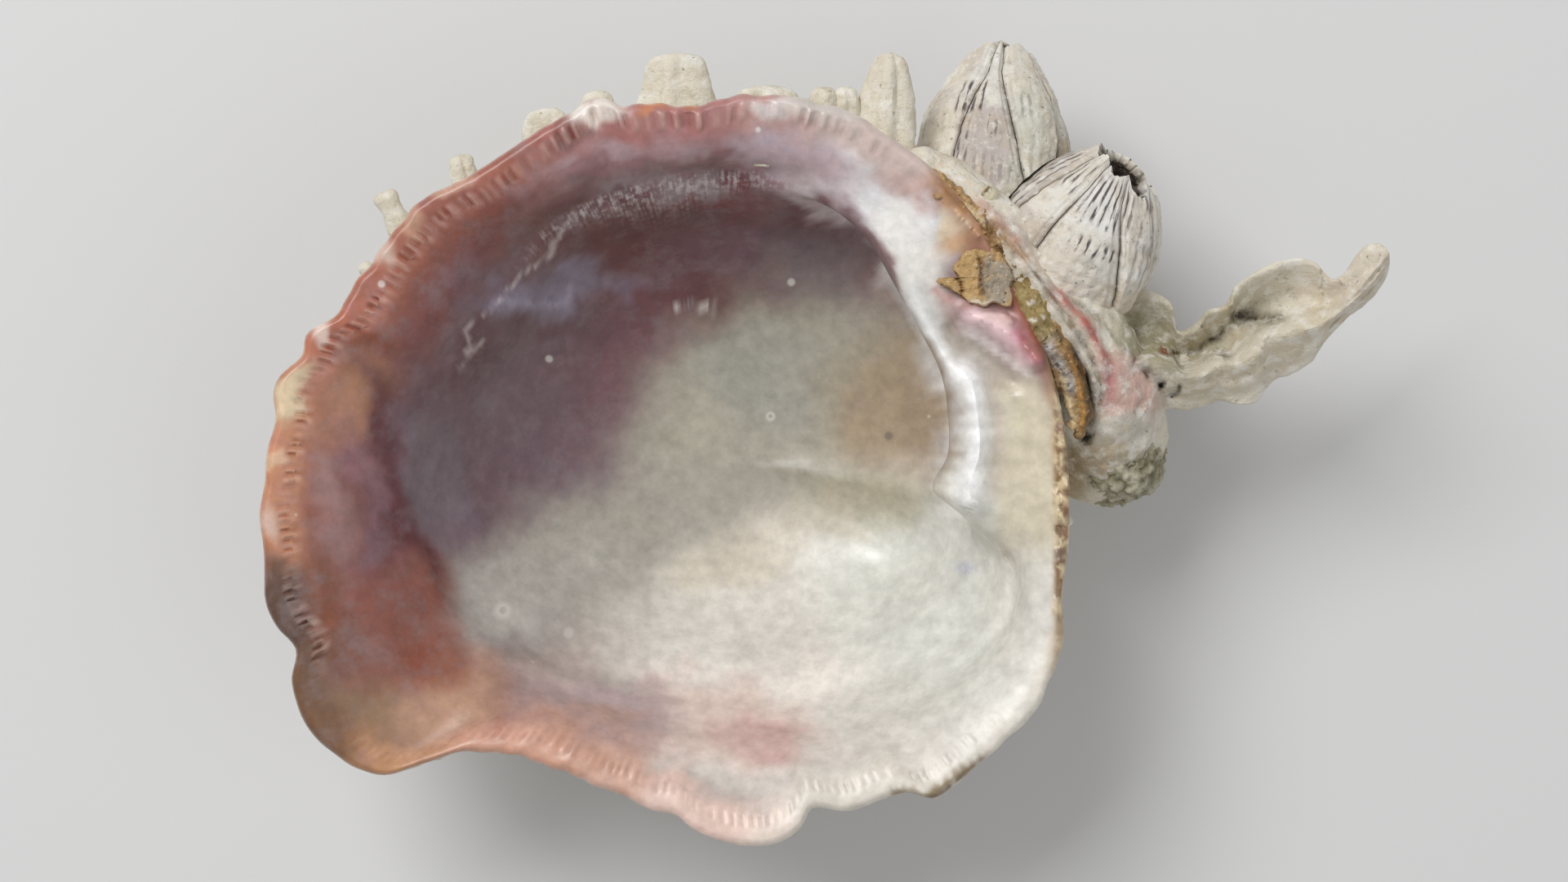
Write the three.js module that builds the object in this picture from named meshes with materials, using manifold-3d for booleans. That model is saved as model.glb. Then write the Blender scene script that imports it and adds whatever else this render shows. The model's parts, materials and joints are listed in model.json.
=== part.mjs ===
// Spiny oyster shell: one cemented valve lying on its attachment scar, cavity up, with two
// acorn barnacles, a scaly crust, a worm tube and dried hinge ligament still on it.
// Units are millimetres. +Z is up. The origin is on the resting plane, under the middle of the
// attachment scar's grid, and +X points from the cavity towards the hinge and its long frond.
import * as THREE from "three";
import { mergeVertices } from "three/addons/utils/BufferGeometryUtils.js";
import Module from "manifold-3d";

const wasm = await Module();
wasm.setup();

// ---------- driving dimensions ----------
const GAP = 0.3; // clearance between a piece and what it is cemented to
const POLE = new THREE.Vector2(5, 2); // plan position of the cavity's deepest point
const COLUMNS = 78; // facets round the valve
const FLOOR_Z = 6.5; // shell thickness under the deepest point
const LIP_Z = 1.7; // height of the rim's rounded edge
const SCAR = { centre: [12, 3], radii: [17, 14.5] }; // flat attachment scar
const WALL_FULLNESS = { open: 1.32, hinge: 2.3 }; // roundness of the outer wall
const HINGE_ARC = { from: 0, to: 48, before: 20, after: 34 }; // degrees about the pole, and its fades
const BAND_WIDTH = 3.6; // crenulated band inside the rim
const LIP_UNDERCUT = 5.5; // reach of the cavity under the hinge plate
const WALL_PLATE_GAP = 0.32; // suture between two barnacle plates

// Rim of the valve, as plan position and height, anticlockwise from the hinge.
const RIM = [
  [42.3, 0, 31.5], [41.6, 7, 31.5], [39.6, 14, 31.5], [36.6, 20.5, 31.5], [33, 27, 32],
  [28.5, 31.6, 32.5], [22, 37, 33.5], [14, 39.4, 34], [6, 39.8, 34], [-2, 39.4, 34.5],
  [-10, 38, 34.5], [-18, 33.6, 34.5], [-25, 29, 34.5], [-31, 22.6, 34], [-36.5, 15.6, 34],
  [-40.4, 8, 34], [-42, 0, 34], [-42.3, -8, 34], [-40.4, -15.5, 33.5], [-38.9, -22, 33],
  [-35.4, -27.6, 32], [-30.4, -30.5, 31.5], [-25, -29, 31], [-18, -28.5, 31],
  [-10, -30.6, 31.5], [-2, -33.8, 32], [4, -36.9, 32.5], [9, -38, 32.5], [14, -36, 32.5],
  [20, -34.2, 32.5], [28, -33, 32.5], [34.5, -28.4, 32], [39.4, -22, 32], [41.9, -14, 31.5],
  [42.2, -6, 31.5],
];

// Inner edge of the shelf: the pallial line, then the hinge plate's free lip, then the muscle scar.
const SHELF = [
  [29.8, 7, 29.5], [29, 11.5, 30], [26.8, 16, 30], [24, 21, 30], [20, 26.6, 29.5],
  [14, 31, 28.5], [7, 32.5, 28], [-1, 31.6, 28], [-8, 29.4, 27.5], [-14, 25.4, 27],
  [-19, 18.5, 26.5], [-24, 12, 26.5], [-27.6, 5, 26.5], [-28.8, -2, 26.5], [-27.4, -9, 26],
  [-23.4, -15, 25], [-16, -20, 24.5], [-7, -23.4, 24], [3, -25.4, 24], [13, -26, 24],
  [22, -24.5, 24], [30, -20.5, 24.5], [35.4, -15, 25], [36.4, -9, 25.5], [32, -4, 27.5],
  [28.4, -1, 29], [29.8, 3, 29.5],
];

// ---------- small geometry helpers ----------
const mix = (a, b, t) => a + (b - a) * t;
const smooth = (t) => {
  const x = Math.min(1, Math.max(0, t));
  return x * x * (3 - 2 * x);
};
const wave = (seed) => Math.sin(seed * 12.9898) * 0.5 + Math.sin(seed * 4.1414 + 1.3) * 0.5;

// A closed solid's geometry, with its faces turned outwards.
function solid(points, triangles) {
  const position = new Float32Array(points.flatMap((p) => [p.x, p.y, p.z]));
  const at = (i) => points[i];
  const volume = triangles.reduce((sum, [a, b, c]) => sum + at(a).dot(at(b).clone().cross(at(c))), 0);
  const index = triangles.flatMap(([a, b, c]) => (volume < 0 ? [a, c, b] : [a, b, c]));
  return new THREE.BufferGeometry()
    .setAttribute("position", new THREE.BufferAttribute(position, 3))
    .setIndex(index);
}

// Joins closed rings of the same number of points, and closes both ends with a fan.
function loft(rings, first, last) {
  const n = rings[0].length;
  const points = [...rings.flat(), first, last];
  const triangles = [];
  for (let k = 0; k < rings.length - 1; k++)
    for (let i = 0; i < n; i++) {
      const j = (i + 1) % n;
      const [a, b, c, d] = [k * n + i, k * n + j, (k + 1) * n + j, (k + 1) * n + i];
      triangles.push([a, b, c], [a, c, d]);
    }
  const top = (rings.length - 1) * n;
  for (let i = 0; i < n; i++) {
    const j = (i + 1) % n;
    triangles.push([rings.length * n, j, i], [rings.length * n + 1, top + i, top + j]);
  }
  return solid(points, triangles);
}

// A thick sheet between two grids of points, face[row][column] and back[row][column].
function sheet(face, back) {
  const rows = face.length;
  const columns = face[0].length;
  const points = [...face.flat(), ...back.flat()];
  const front = (r, c) => r * columns + c;
  const rear = (r, c) => rows * columns + r * columns + c;
  const triangles = [];
  const quad = (a, b, c, d) => triangles.push([a, b, c], [a, c, d]);
  for (let r = 0; r < rows - 1; r++)
    for (let c = 0; c < columns - 1; c++) {
      quad(front(r, c), front(r, c + 1), front(r + 1, c + 1), front(r + 1, c));
      quad(rear(r, c), rear(r + 1, c), rear(r + 1, c + 1), rear(r, c + 1));
    }
  for (let c = 0; c < columns - 1; c++) {
    quad(front(0, c), rear(0, c), rear(0, c + 1), front(0, c + 1));
    quad(front(rows - 1, c), front(rows - 1, c + 1), rear(rows - 1, c + 1), rear(rows - 1, c));
  }
  for (let r = 0; r < rows - 1; r++) {
    quad(front(r, 0), front(r + 1, 0), rear(r + 1, 0), rear(r, 0));
    quad(front(r, columns - 1), rear(r, columns - 1), rear(r + 1, columns - 1), front(r + 1, columns - 1));
  }
  return solid(points, triangles);
}

// A tapered tube of elliptical section. stations are {at: [x, y, z], radius, flat}.
function taperedTube(stations, sides, steps, grow = 0) {
  const line = new THREE.CatmullRomCurve3(stations.map((s) => new THREE.Vector3(...s.at)));
  const rings = [];
  for (let k = 0; k <= steps; k++) {
    const t = k / steps;
    const span = t * (stations.length - 1);
    const i = Math.min(stations.length - 2, Math.floor(span));
    const radius = mix(stations[i].radius, stations[i + 1].radius, smooth(span - i)) + grow;
    const flat = mix(stations[i].flat ?? 1, stations[i + 1].flat ?? 1, smooth(span - i));
    const centre = line.getPoint(t);
    const along = line.getTangent(t);
    const across = new THREE.Vector3(0, 0, 1).cross(along).normalize();
    const up = along.clone().cross(across).normalize();
    rings.push(Array.from({ length: sides }, (_, s) => {
      const a = (2 * Math.PI * s) / sides;
      return centre.clone()
        .addScaledVector(across, radius * Math.cos(a))
        .addScaledVector(up, radius * flat * Math.sin(a));
    }));
  }
  const ends = [line.getPoint(0), line.getPoint(1)];
  const directions = [line.getTangent(0).negate(), line.getTangent(1)];
  const [first, last] = ends.map((end, e) =>
    end.addScaledVector(directions[e], (e ? stations.at(-1) : stations[0]).radius * 0.45));
  return loft(rings, first, last);
}

// three.js geometry to a manifold solid and back.
function toManifold(geometry) {
  const bare = geometry.clone();
  bare.deleteAttribute("normal");
  bare.deleteAttribute("uv");
  const merged = mergeVertices(bare, 1e-4);
  return new wasm.Manifold(new wasm.Mesh({
    numProp: 3,
    vertProperties: merged.attributes.position.array,
    triVerts: new Uint32Array(merged.index.array),
  }));
}

function toGeometry(manifold) {
  const mesh = manifold.getMesh();
  return new THREE.BufferGeometry()
    .setAttribute("position", new THREE.BufferAttribute(new Float32Array(mesh.vertProperties), 3))
    .setIndex(new THREE.BufferAttribute(new Uint32Array(mesh.triVerts), 1));
}

// ---------- valve ----------
// A closed outline stored as polar stations about the pole.
class Contour {
  constructor(points) {
    this.stations = points
      .map(([x, y, z]) => {
        const [dx, dy] = [x - POLE.x, y - POLE.y];
        return { angle: Math.atan2(dy, dx), radius: Math.hypot(dx, dy), z };
      })
      .sort((a, b) => a.angle - b.angle);
  }

  // Radius and height at an angle, by a smooth curve through the stations.
  at(angle) {
    const s = this.stations;
    const n = s.length;
    const turn = Math.PI * 2;
    const wrapped = ((((angle - s[0].angle) % turn) + turn) % turn) + s[0].angle;
    let i = n - 1;
    while (i > 0 && s[i].angle > wrapped) i--;
    const [p0, p1, p2, p3] = [s[(i + n - 1) % n], s[i], s[(i + 1) % n], s[(i + 2) % n]];
    const span = (b, a) => (b.angle - a.angle + turn) % turn;
    const [h0, h1, h2] = [span(p1, p0), span(p2, p1), span(p3, p2)];
    const t = (wrapped - p1.angle) / h1;
    const blend = (key) => {
      const m1 = ((p2[key] - p0[key]) / (h0 + h1)) * h1;
      const m2 = ((p3[key] - p1[key]) / (h1 + h2)) * h1;
      const [t2, t3] = [t * t, t * t * t];
      return (2 * t3 - 3 * t2 + 1) * p1[key] + (t3 - 2 * t2 + t) * m1
        + (3 * t2 - 2 * t3) * p2[key] + (t3 - t2) * m2;
    };
    return { radius: blend("radius"), z: blend("z") };
  }
}

const rim = new Contour(RIM);
const shelf = new Contour(SHELF);
const scar = new Contour(Array.from({ length: 24 }, (_, i) => {
  const a = (2 * Math.PI * i) / 24;
  return [
    SCAR.centre[0] + SCAR.radii[0] * Math.cos(a),
    SCAR.centre[1] + SCAR.radii[1] * Math.sin(a),
    0,
  ];
}));

const place = (angle, radius, z) =>
  new THREE.Vector3(POLE.x + radius * Math.cos(angle), POLE.y + radius * Math.sin(angle), z);

// 1 along the hinge, 0 round the open margin.
function hingeShare(angle) {
  const degrees = THREE.MathUtils.radToDeg(Math.atan2(Math.sin(angle), Math.cos(angle)));
  const { from, to, before, after } = HINGE_ARC;
  return smooth((degrees - from + before) / before) * smooth((to + after - degrees) / after);
}

// Outer wall: a superellipse from the scar's edge, share 0, up to the rim, share 1.
function outerPoint(angle, share) {
  const top = rim.at(angle);
  const foot = scar.at(angle).radius;
  const power = mix(WALL_FULLNESS.open, WALL_FULLNESS.hinge, hingeShare(angle));
  const across = Math.pow(1 - Math.pow(1 - share, power), 1 / power);
  return place(angle, mix(foot, top.radius - 0.2, across), (top.z - LIP_Z) * share);
}

function outerNormal(angle, share) {
  const here = outerPoint(angle, share);
  const side = outerPoint(angle + 0.01, share).sub(here);
  const up = outerPoint(angle, share + 0.01).sub(here);
  return side.cross(up).normalize();
}

// Points of the cavity's profile at one angle, from the rim's crest down to the floor.
function innerProfile(angle) {
  const top = rim.at(angle);
  const edge = shelf.at(angle);
  const hinge = hingeShare(angle);
  const band = top.radius - BAND_WIDTH;
  return [
    place(angle, top.radius - 0.2, top.z - LIP_Z),
    place(angle, top.radius - 0.7, top.z),
    place(angle, band, top.z - mix(0.9, 0.5, hinge)),
    place(angle, mix(band, edge.radius, 0.55), mix(top.z, edge.z, mix(0.45, 0.6, hinge))),
    place(angle, edge.radius, edge.z),
    place(angle, edge.radius + mix(-1.6, LIP_UNDERCUT * 0.45, hinge), edge.z - mix(1.9, 4.2, hinge)),
    place(angle, mix(edge.radius * 0.86, edge.radius + LIP_UNDERCUT, hinge), mix(19.5, 19, hinge)),
    place(angle, edge.radius * mix(0.63, 0.82, hinge), mix(12.8, 11.5, hinge)),
    place(angle, edge.radius * mix(0.3, 0.4, hinge), 7.6),
  ];
}

function valveBody() {
  const angles = Array.from({ length: COLUMNS }, (_, i) => (2 * Math.PI * i) / COLUMNS);
  const outerShares = [0, 0.04, 0.12, 0.24, 0.4, 0.58, 0.78];
  const rings = outerShares.map((share) => angles.map((a) => outerPoint(a, share)));
  const stepsPerSpan = [1, 1, 1, 2, 1, 2, 2, 2];
  const curves = angles.map((a) => new THREE.CatmullRomCurve3(innerProfile(a), false, "centripetal"));
  const spans = stepsPerSpan.length;
  stepsPerSpan.forEach((steps, span) => {
    for (let k = 0; k < steps; k++)
      rings.push(curves.map((c) => c.getPoint((span + k / steps) / spans)));
  });
  rings.push(curves.map((c) => c.getPoint(1)));
  return loft(rings, place(0, 0, 0), place(0, 0, FLOOR_Z));
}

// Umbo: a ridge that runs outside the hinge line and swells towards the beak.
const UMBO_RIDGE = [
  { at: [25, 33.6, 25], radius: 2.6 },
  { at: [30, 29.6, 25.6], radius: 3.6 },
  { at: [35.4, 25, 25.4], radius: 4.4 },
  { at: [39.4, 19.6, 24.6], radius: 5 },
  { at: [43.2, 14, 23.2], radius: 5.8 },
  { at: [45.8, 9, 20.4], radius: 6.8 },
  { at: [45.6, 4, 16.4], radius: 6.6 },
  { at: [42, 0, 12.4], radius: 4.6 },
];

// Long hollow frond beyond the beak. Each section is listed from its thick lower edge to its
// thin scalloped edge, as plan positions; trough is how far its middle sinks.
const FROND = [
  { low: [45, 7], high: [44.5, 17.5], z: [22, 22], trough: 2.5, thick: 4 },
  { low: [49.5, 7.4], high: [49.4, 20.2], z: [23, 25], trough: 4.5, thick: 4 },
  { low: [53, 7.8], high: [52.8, 16.4], z: [23.6, 24], trough: 4, thick: 3.4 },
  { low: [57, 8.4], high: [57, 18], z: [24, 25.4], trough: 4, thick: 3 },
  { low: [61.4, 8.5], high: [60.4, 21], z: [24.4, 26.6], trough: 4.4, thick: 2.8 },
  { low: [65.4, 11.4], high: [65.6, 23.2], z: [25.2, 27.2], trough: 4, thick: 2.6 },
  { low: [68.6, 14.6], high: [68.4, 21.4], z: [26.2, 27.6], trough: 2.4, thick: 2.6 },
  { low: [71.4, 17.6], high: [70.6, 21.9], z: [27.6, 28.6], trough: 0.6, thick: 2.8 },
  { low: [74.4, 20.6], high: [72, 24.2], z: [29.4, 29.8], trough: 0, thick: 2.4 },
  { low: [75.6, 23], high: [74, 24.9], z: [30.2, 30.4], trough: 0, thick: 1.2 },
];

function frond() {
  const across = 8;
  const steps = 2;
  const sections = [];
  for (let k = 0; k < (FROND.length - 1) * steps + 1; k++) {
    const i = Math.min(FROND.length - 2, Math.floor(k / steps));
    const t = k / steps - i;
    const [a, b] = [FROND[i], FROND[i + 1]];
    const blend = (u, v) => u.map((value, axis) => mix(value, v[axis], t));
    sections.push({
      low: blend(a.low, b.low), high: blend(a.high, b.high), z: blend(a.z, b.z),
      trough: mix(a.trough, b.trough, t), thick: mix(a.thick, b.thick, t),
    });
  }
  const surface = (section, depth) => Array.from({ length: across + 1 }, (_, c) => {
    const s = c / across;
    const sag = section.trough * Math.sin(Math.PI * Math.pow(s, 0.8));
    const thickness = section.thick * mix(1, 0.45, smooth(s * 1.6));
    return new THREE.Vector3(
      mix(section.low[0], section.high[0], s),
      mix(section.low[1], section.high[1], s),
      mix(section.z[0], section.z[1], s) - sag - depth * thickness,
    );
  });
  return sheet(sections.map((s) => surface(s, 0)), sections.map((s) => surface(s, 1)));
}

// A blunt, flattened spine from root to tip.
function spine(root, tip, widths, flatness) {
  const along = tip.clone().sub(root);
  const sides = 6;
  const side = new THREE.Vector3(0, 0, 1).cross(along).normalize();
  const up = along.clone().normalize().cross(side);
  const ring = (share, width) => Array.from({ length: sides }, (_, s) => {
    const a = (2 * Math.PI * s) / sides;
    return root.clone().addScaledVector(along, share)
      .addScaledVector(side, (width / 2) * Math.cos(a))
      .addScaledVector(up, (width / 2) * flatness * Math.sin(a));
  });
  const [base, end] = widths;
  const rings = [ring(0, base), ring(0.5, mix(base, end, 0.6)), ring(0.9, end)];
  return loft(rings, root.clone(), tip.clone());
}

// Spines that stand out past the rim: plan position of root and tip, and widths there.
const RIM_SPINES = [
  { root: [-27, 23.6], tip: [-30.3, 30], widths: [3.6, 2.4], flatness: 0.9 },
  { root: [-19.8, 28.6], tip: [-21.4, 33.9], widths: [4, 2.7], flatness: 0.9 },
  { root: [-11.6, 33.6], tip: [-13.2, 38.6], widths: [5.4, 3.2], flatness: 0.7 },
  { root: [-7, 36], tip: [-7.3, 40.5], widths: [6, 2.2], flatness: 0.6 },
  { root: [1.2, 36.4], tip: [1.5, 44.6], widths: [9, 5.4], flatness: 0.45 },
  { root: [10.6, 37], tip: [10.6, 40.9], widths: [7.4, 5], flatness: 0.5 },
  { root: [17.6, 35.6], tip: [17.8, 41.2], widths: [6, 4], flatness: 0.7 },
  { root: [22.4, 33.4], tip: [24.2, 44.6], widths: [6.6, 3], flatness: 0.8 },
];
const RIM_SPINE_Z = { root: 26.4, tip: 27.6 };

// Worn spines in rows down the outside, one row to each main rib.
const RIB_ANGLES = { from: 80, to: 326, count: 11 };
const SPINE_ROWS = [
  { share: 0.7, length: 4, widths: [4.4, 2.4] },
  { share: 0.44, length: 3.4, widths: [4.6, 2.6] },
];

function allSpines() {
  const rimmed = RIM_SPINES.map((s) => spine(
    new THREE.Vector3(...s.root, RIM_SPINE_Z.root),
    new THREE.Vector3(...s.tip, RIM_SPINE_Z.tip),
    s.widths,
    s.flatness,
  ));
  const rows = SPINE_ROWS.flatMap((row, level) => Array.from({ length: RIB_ANGLES.count }, (_, rib) => {
    const step = (RIB_ANGLES.to - RIB_ANGLES.from) / (RIB_ANGLES.count - 1);
    const seed = rib + level * 17;
    const angle = THREE.MathUtils.degToRad(RIB_ANGLES.from + step * (rib + 0.16 * wave(seed)));
    const share = row.share + 0.03 * wave(seed + 5);
    const normal = outerNormal(angle, share);
    const surface = outerPoint(angle, share);
    const tip = surface.clone().addScaledVector(normal, row.length * (1 + 0.35 * wave(seed + 9)));
    tip.z += 0.8;
    return spine(surface.addScaledVector(normal, -1.2), tip, row.widths, 0.75);
  }));
  return [...rimmed, ...rows];
}

// ---------- ligament ----------
// Dried ligament in its groove between the hinge plate and the umbo.
const LIGAMENT_LINE = [
  [26.6, 33.4, 31.6], [30.4, 29.6, 31.2], [34.2, 25.2, 30.8], [38, 19.4, 30.4],
  [41.4, 13.6, 30], [43.4, 8, 29.4], [43.4, 3.6, 28.4],
];
const LIGAMENT_RADII = [0.7, 1.2, 1.5, 1.7, 1.4, 1.1, 0.7];

function ligament(grow) {
  const stations = LIGAMENT_LINE.map((at, i) => ({ at, radius: LIGAMENT_RADII[i], flat: 0.8 }));
  return taperedTube(stations, 8, 14, grow);
}

// Tan crusted flake that lies on the hinge plate.
const FLAKE = { centre: [31.9, 20.8, 31.4], radii: [2.1, 2.9, 0.8], turn: -0.45 };

function lump(spec, grow, widthSegments = 12, heightSegments = 8, rough = 0.1) {
  const geometry = new THREE.SphereGeometry(1, widthSegments, heightSegments);
  const position = geometry.attributes.position;
  const p = new THREE.Vector3();
  for (let i = 0; i < position.count; i++) {
    p.fromBufferAttribute(position, i);
    const bump = 1 + rough * Math.sin(5 * p.x + 2.2) * Math.sin(4 * p.y + 0.7) * Math.cos(4 * p.z);
    p.multiplyScalar(bump);
    p.set(p.x * (spec.radii[0] + grow), p.y * (spec.radii[1] + grow), p.z * (spec.radii[2] + grow));
    p.applyAxisAngle(new THREE.Vector3(0, 0, 1), spec.turn ?? 0);
    position.setXYZ(i, p.x + spec.centre[0], p.y + spec.centre[1], p.z + spec.centre[2]);
  }
  return geometry;
}

// Rough crust grown over the beak, and a little worm tube at the foot of the first barnacle.
const CRUST = { centre: [48.4, 2.2, 17.6], radii: [5.2, 4.6, 6.6], turn: 0.3 };
const WORM_TUBE = [
  { at: [35.2, 29.2, 28.6], radius: 0.55 },
  { at: [34.4, 29.8, 29.3], radius: 0.7 },
  { at: [33.9, 30.5, 29.9], radius: 0.8 },
  { at: [33.6, 31.3, 30.2], radius: 0.9 },
];

// ---------- barnacles ----------
// axis: azimuth and elevation in degrees. The six wall plates are named as they sit round the axis.
const BARNACLES = [
  {
    name: "barnacle_low", base: [34.3, 28.9, 20.2], azimuth: 84, elevation: -8, height: 17.6,
    baseRadius: 6.9, mouthRadius: 2.4, bulge: 0.6, oval: 0.95, roll: 0.5,
  },
  {
    name: "barnacle_high", base: [41, 20.8, 22], azimuth: 61, elevation: 19, height: 15.4,
    baseRadius: 7.6, mouthRadius: 3.1, bulge: 0.62, oval: 0.92, roll: 0.43,
  },
];
const PLATES = [
  { name: "rostrum", share: 0.24 },
  { name: "lateral_left", share: 0.2 },
  { name: "carinolateral_left", share: 0.1 },
  { name: "carina", share: 0.16 },
  { name: "carinolateral_right", share: 0.1 },
  { name: "lateral_right", share: 0.2 },
];
const BASIS_THICKNESS = 1;
const OPERCULUM = { share: 0.84, thickness: 0.9 }; // dried lid parts left in the second barnacle's mouth
const WALL = { foot: 1.5, mouth: 0.8, shoulder: 2.4 };

// Outer radius of the wall at a height share, with shallow lobes round it.
function wallRadius(b, share, angle) {
  const cone = mix(b.baseRadius, b.mouthRadius, Math.pow(share, WALL.shoulder));
  const belly = b.bulge * b.baseRadius * 0.4 * Math.sin(Math.PI * Math.pow(share, 0.9));
  const lobes = 1 + 0.03 * Math.cos(6 * angle) * (1 - share);
  const oval = 1 - (1 - b.oval) * Math.sin(angle) ** 2;
  return (cone + belly) * lobes * oval;
}

function platePoint(b, share, angle, inset) {
  const radius = wallRadius(b, share, angle) - inset;
  return new THREE.Vector3(radius * Math.cos(angle), radius * Math.sin(angle), share * b.height);
}

function wallPlate(b, index) {
  const before = PLATES.slice(0, index).reduce((sum, p) => sum + p.share, 0);
  const [from, to] = [before, before + PLATES[index].share].map((s) => s * 2 * Math.PI + b.roll);
  const levels = 4;
  const columns = Math.max(2, Math.round(PLATES[index].share * 24));
  const foot = (BASIS_THICKNESS + GAP) / b.height;
  const grid = (inner) => Array.from({ length: levels + 1 }, (_, r) => {
    const share = mix(foot, 1, r / levels);
    const edge = WALL_PLATE_GAP / 2 / (wallRadius(b, share, from) - (inner ? WALL.foot : 0));
    const inset = inner ? mix(WALL.foot, WALL.mouth, share) : 0;
    return Array.from({ length: columns + 1 }, (_, c) =>
      platePoint(b, share, mix(from + edge, to - edge, c / columns), inset));
  });
  return sheet(grid(false), grid(true));
}

function revolvedBasis(b) {
  const rings = [0, BASIS_THICKNESS].map((z) => Array.from({ length: 24 }, (_, i) => {
    const a = (2 * Math.PI * i) / 24;
    const r = wallRadius(b, 0, a) - 0.2;
    return new THREE.Vector3(r * Math.cos(a), r * Math.sin(a), z);
  }));
  return loft(rings, new THREE.Vector3(0, 0, 0), new THREE.Vector3(0, 0, BASIS_THICKNESS));
}

// Dried lid parts: a lumpy disc that fills the bore a little below the mouth.
function operculum(b) {
  const z = OPERCULUM.share * b.height;
  const rings = [-0.5, 0.5].map((side) => Array.from({ length: 16 }, (_, i) => {
    const a = (2 * Math.PI * i) / 16;
    const bore = wallRadius(b, OPERCULUM.share + 0.05, a) - WALL.foot - GAP;
    return new THREE.Vector3(bore * Math.cos(a), bore * Math.sin(a), z + side * OPERCULUM.thickness);
  }));
  return loft(rings, new THREE.Vector3(0, 0, z - 1), new THREE.Vector3(0.3, 0.2, z + 1.1));
}

// The barnacle's whole outside, grown by a clearance: what the valve and a neighbour make room for.
function envelope(b, grow) {
  const rings = [];
  const levels = 7;
  for (let r = 0; r <= levels; r++) {
    const share = r / levels;
    rings.push(Array.from({ length: 28 }, (_, i) => {
      const p = platePoint(b, share, (2 * Math.PI * i) / 28, -grow);
      p.z += mix(-grow, grow, share);
      return p;
    }));
  }
  const top = new THREE.Vector3(0, 0, b.height + grow);
  return loft(rings, new THREE.Vector3(0, 0, -grow), top);
}

function barnacleGroup(b) {
  const group = new THREE.Group();
  const [azimuth, elevation] = [b.azimuth, b.elevation].map(THREE.MathUtils.degToRad);
  const axis = new THREE.Vector3(
    Math.cos(azimuth) * Math.cos(elevation),
    Math.sin(azimuth) * Math.cos(elevation),
    Math.sin(elevation),
  );
  group.position.set(...b.base);
  group.quaternion.setFromUnitVectors(new THREE.Vector3(0, 0, 1), axis);
  group.updateMatrixWorld(true);
  return group;
}

// ---------- assembly ----------
const materials = {
  valve: new THREE.MeshStandardMaterial({ color: "#d8cdbd", roughness: 0.45, metalness: 0 }),
  ligament: new THREE.MeshStandardMaterial({ color: "#8f6a3d", roughness: 0.6, metalness: 0 }),
  flake: new THREE.MeshStandardMaterial({ color: "#b08a55", roughness: 0.8, metalness: 0 }),
  crust: new THREE.MeshStandardMaterial({ color: "#b5ac96", roughness: 0.9, metalness: 0 }),
  operculum: new THREE.MeshStandardMaterial({ color: "#4a3c34", roughness: 0.8, metalness: 0 }),
  barnacle: new THREE.MeshStandardMaterial({ color: "#cfc8bd", roughness: 0.75, metalness: 0 }),
};

function named(name, geometry, material) {
  const mesh = new THREE.Mesh(geometry, material);
  mesh.name = name;
  geometry.computeVertexNormals();
  return mesh;
}

const shell = new THREE.Group();
const [lowGroup, highGroup] = BARNACLES.map(barnacleGroup);
const inWorld = (geometry, group) => geometry.clone().applyMatrix4(group.matrixWorld);
const seats = [
  inWorld(envelope(BARNACLES[0], GAP), lowGroup),
  inWorld(envelope(BARNACLES[1], GAP), highGroup),
  ligament(GAP),
  lump(FLAKE, GAP),
  lump(CRUST, GAP, 16, 12, 0.16),
  taperedTube(WORM_TUBE, 8, 6, GAP),
];
let valve = toManifold(valveBody())
  .add(toManifold(taperedTube(UMBO_RIDGE, 14, 16)))
  .add(toManifold(frond()));
for (const each of allSpines()) valve = valve.add(toManifold(each));
for (const seat of seats) valve = valve.subtract(toManifold(seat));
const valvePieces = valve.decompose().sort((a, b) => b.volume() - a.volume());
shell.add(named("valve", toGeometry(valvePieces[0]), materials.valve));

const ligamentParts = toManifold(ligament(0))
  .subtract(toManifold(seats[0]))
  .subtract(toManifold(seats[1]))
  .decompose()
  .sort((p, q) => q.volume() - p.volume());
shell.add(named("ligament", toGeometry(ligamentParts[0]), materials.ligament));
shell.add(named("hinge_flake", lump(FLAKE, 0), materials.flake));
shell.add(named("worm_tube", taperedTube(WORM_TUBE, 6, 4), materials.crust));
shell.add(named("beak_crust", lump(CRUST, 0, 16, 12, 0.16), materials.crust));

const crowd = toManifold(envelope(BARNACLES[1], GAP).applyMatrix4(highGroup.matrixWorld)
  .applyMatrix4(lowGroup.matrixWorld.clone().invert()));
[lowGroup, highGroup].forEach((group, i) => {
  const b = BARNACLES[i];
  const basis = toManifold(revolvedBasis(b));
  const trimmed = (m) => (i === 0 ? m.subtract(crowd) : m).decompose().sort((p, q) => q.volume() - p.volume());
  const basisParts = trimmed(basis);
  group.add(named(`${b.name}_basis`, toGeometry(basisParts[0]), materials.barnacle));
  PLATES.forEach((plate, k) => {
    const parts = trimmed(toManifold(wallPlate(b, k)));
    group.add(named(`${b.name}_${plate.name}`, toGeometry(parts[0]), materials.barnacle));
  });
  shell.add(group);
});
highGroup.add(named("barnacle_high_operculum", operculum(BARNACLES[1]), materials.operculum));

export default shell;
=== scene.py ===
"""Spiny oyster shell: one cemented valve with its crust, ligament and two acorn barnacles.

Lengths are written in millimetres and turned to metres where a mesh is made. The frame is the
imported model's: +Z out of the open cavity, +X across the hinge towards the long frond.
"""

import json
import logging
import math
from dataclasses import dataclass, field
from enum import Enum

import bmesh
import bpy
import numpy as np
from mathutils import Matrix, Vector, noise

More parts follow.
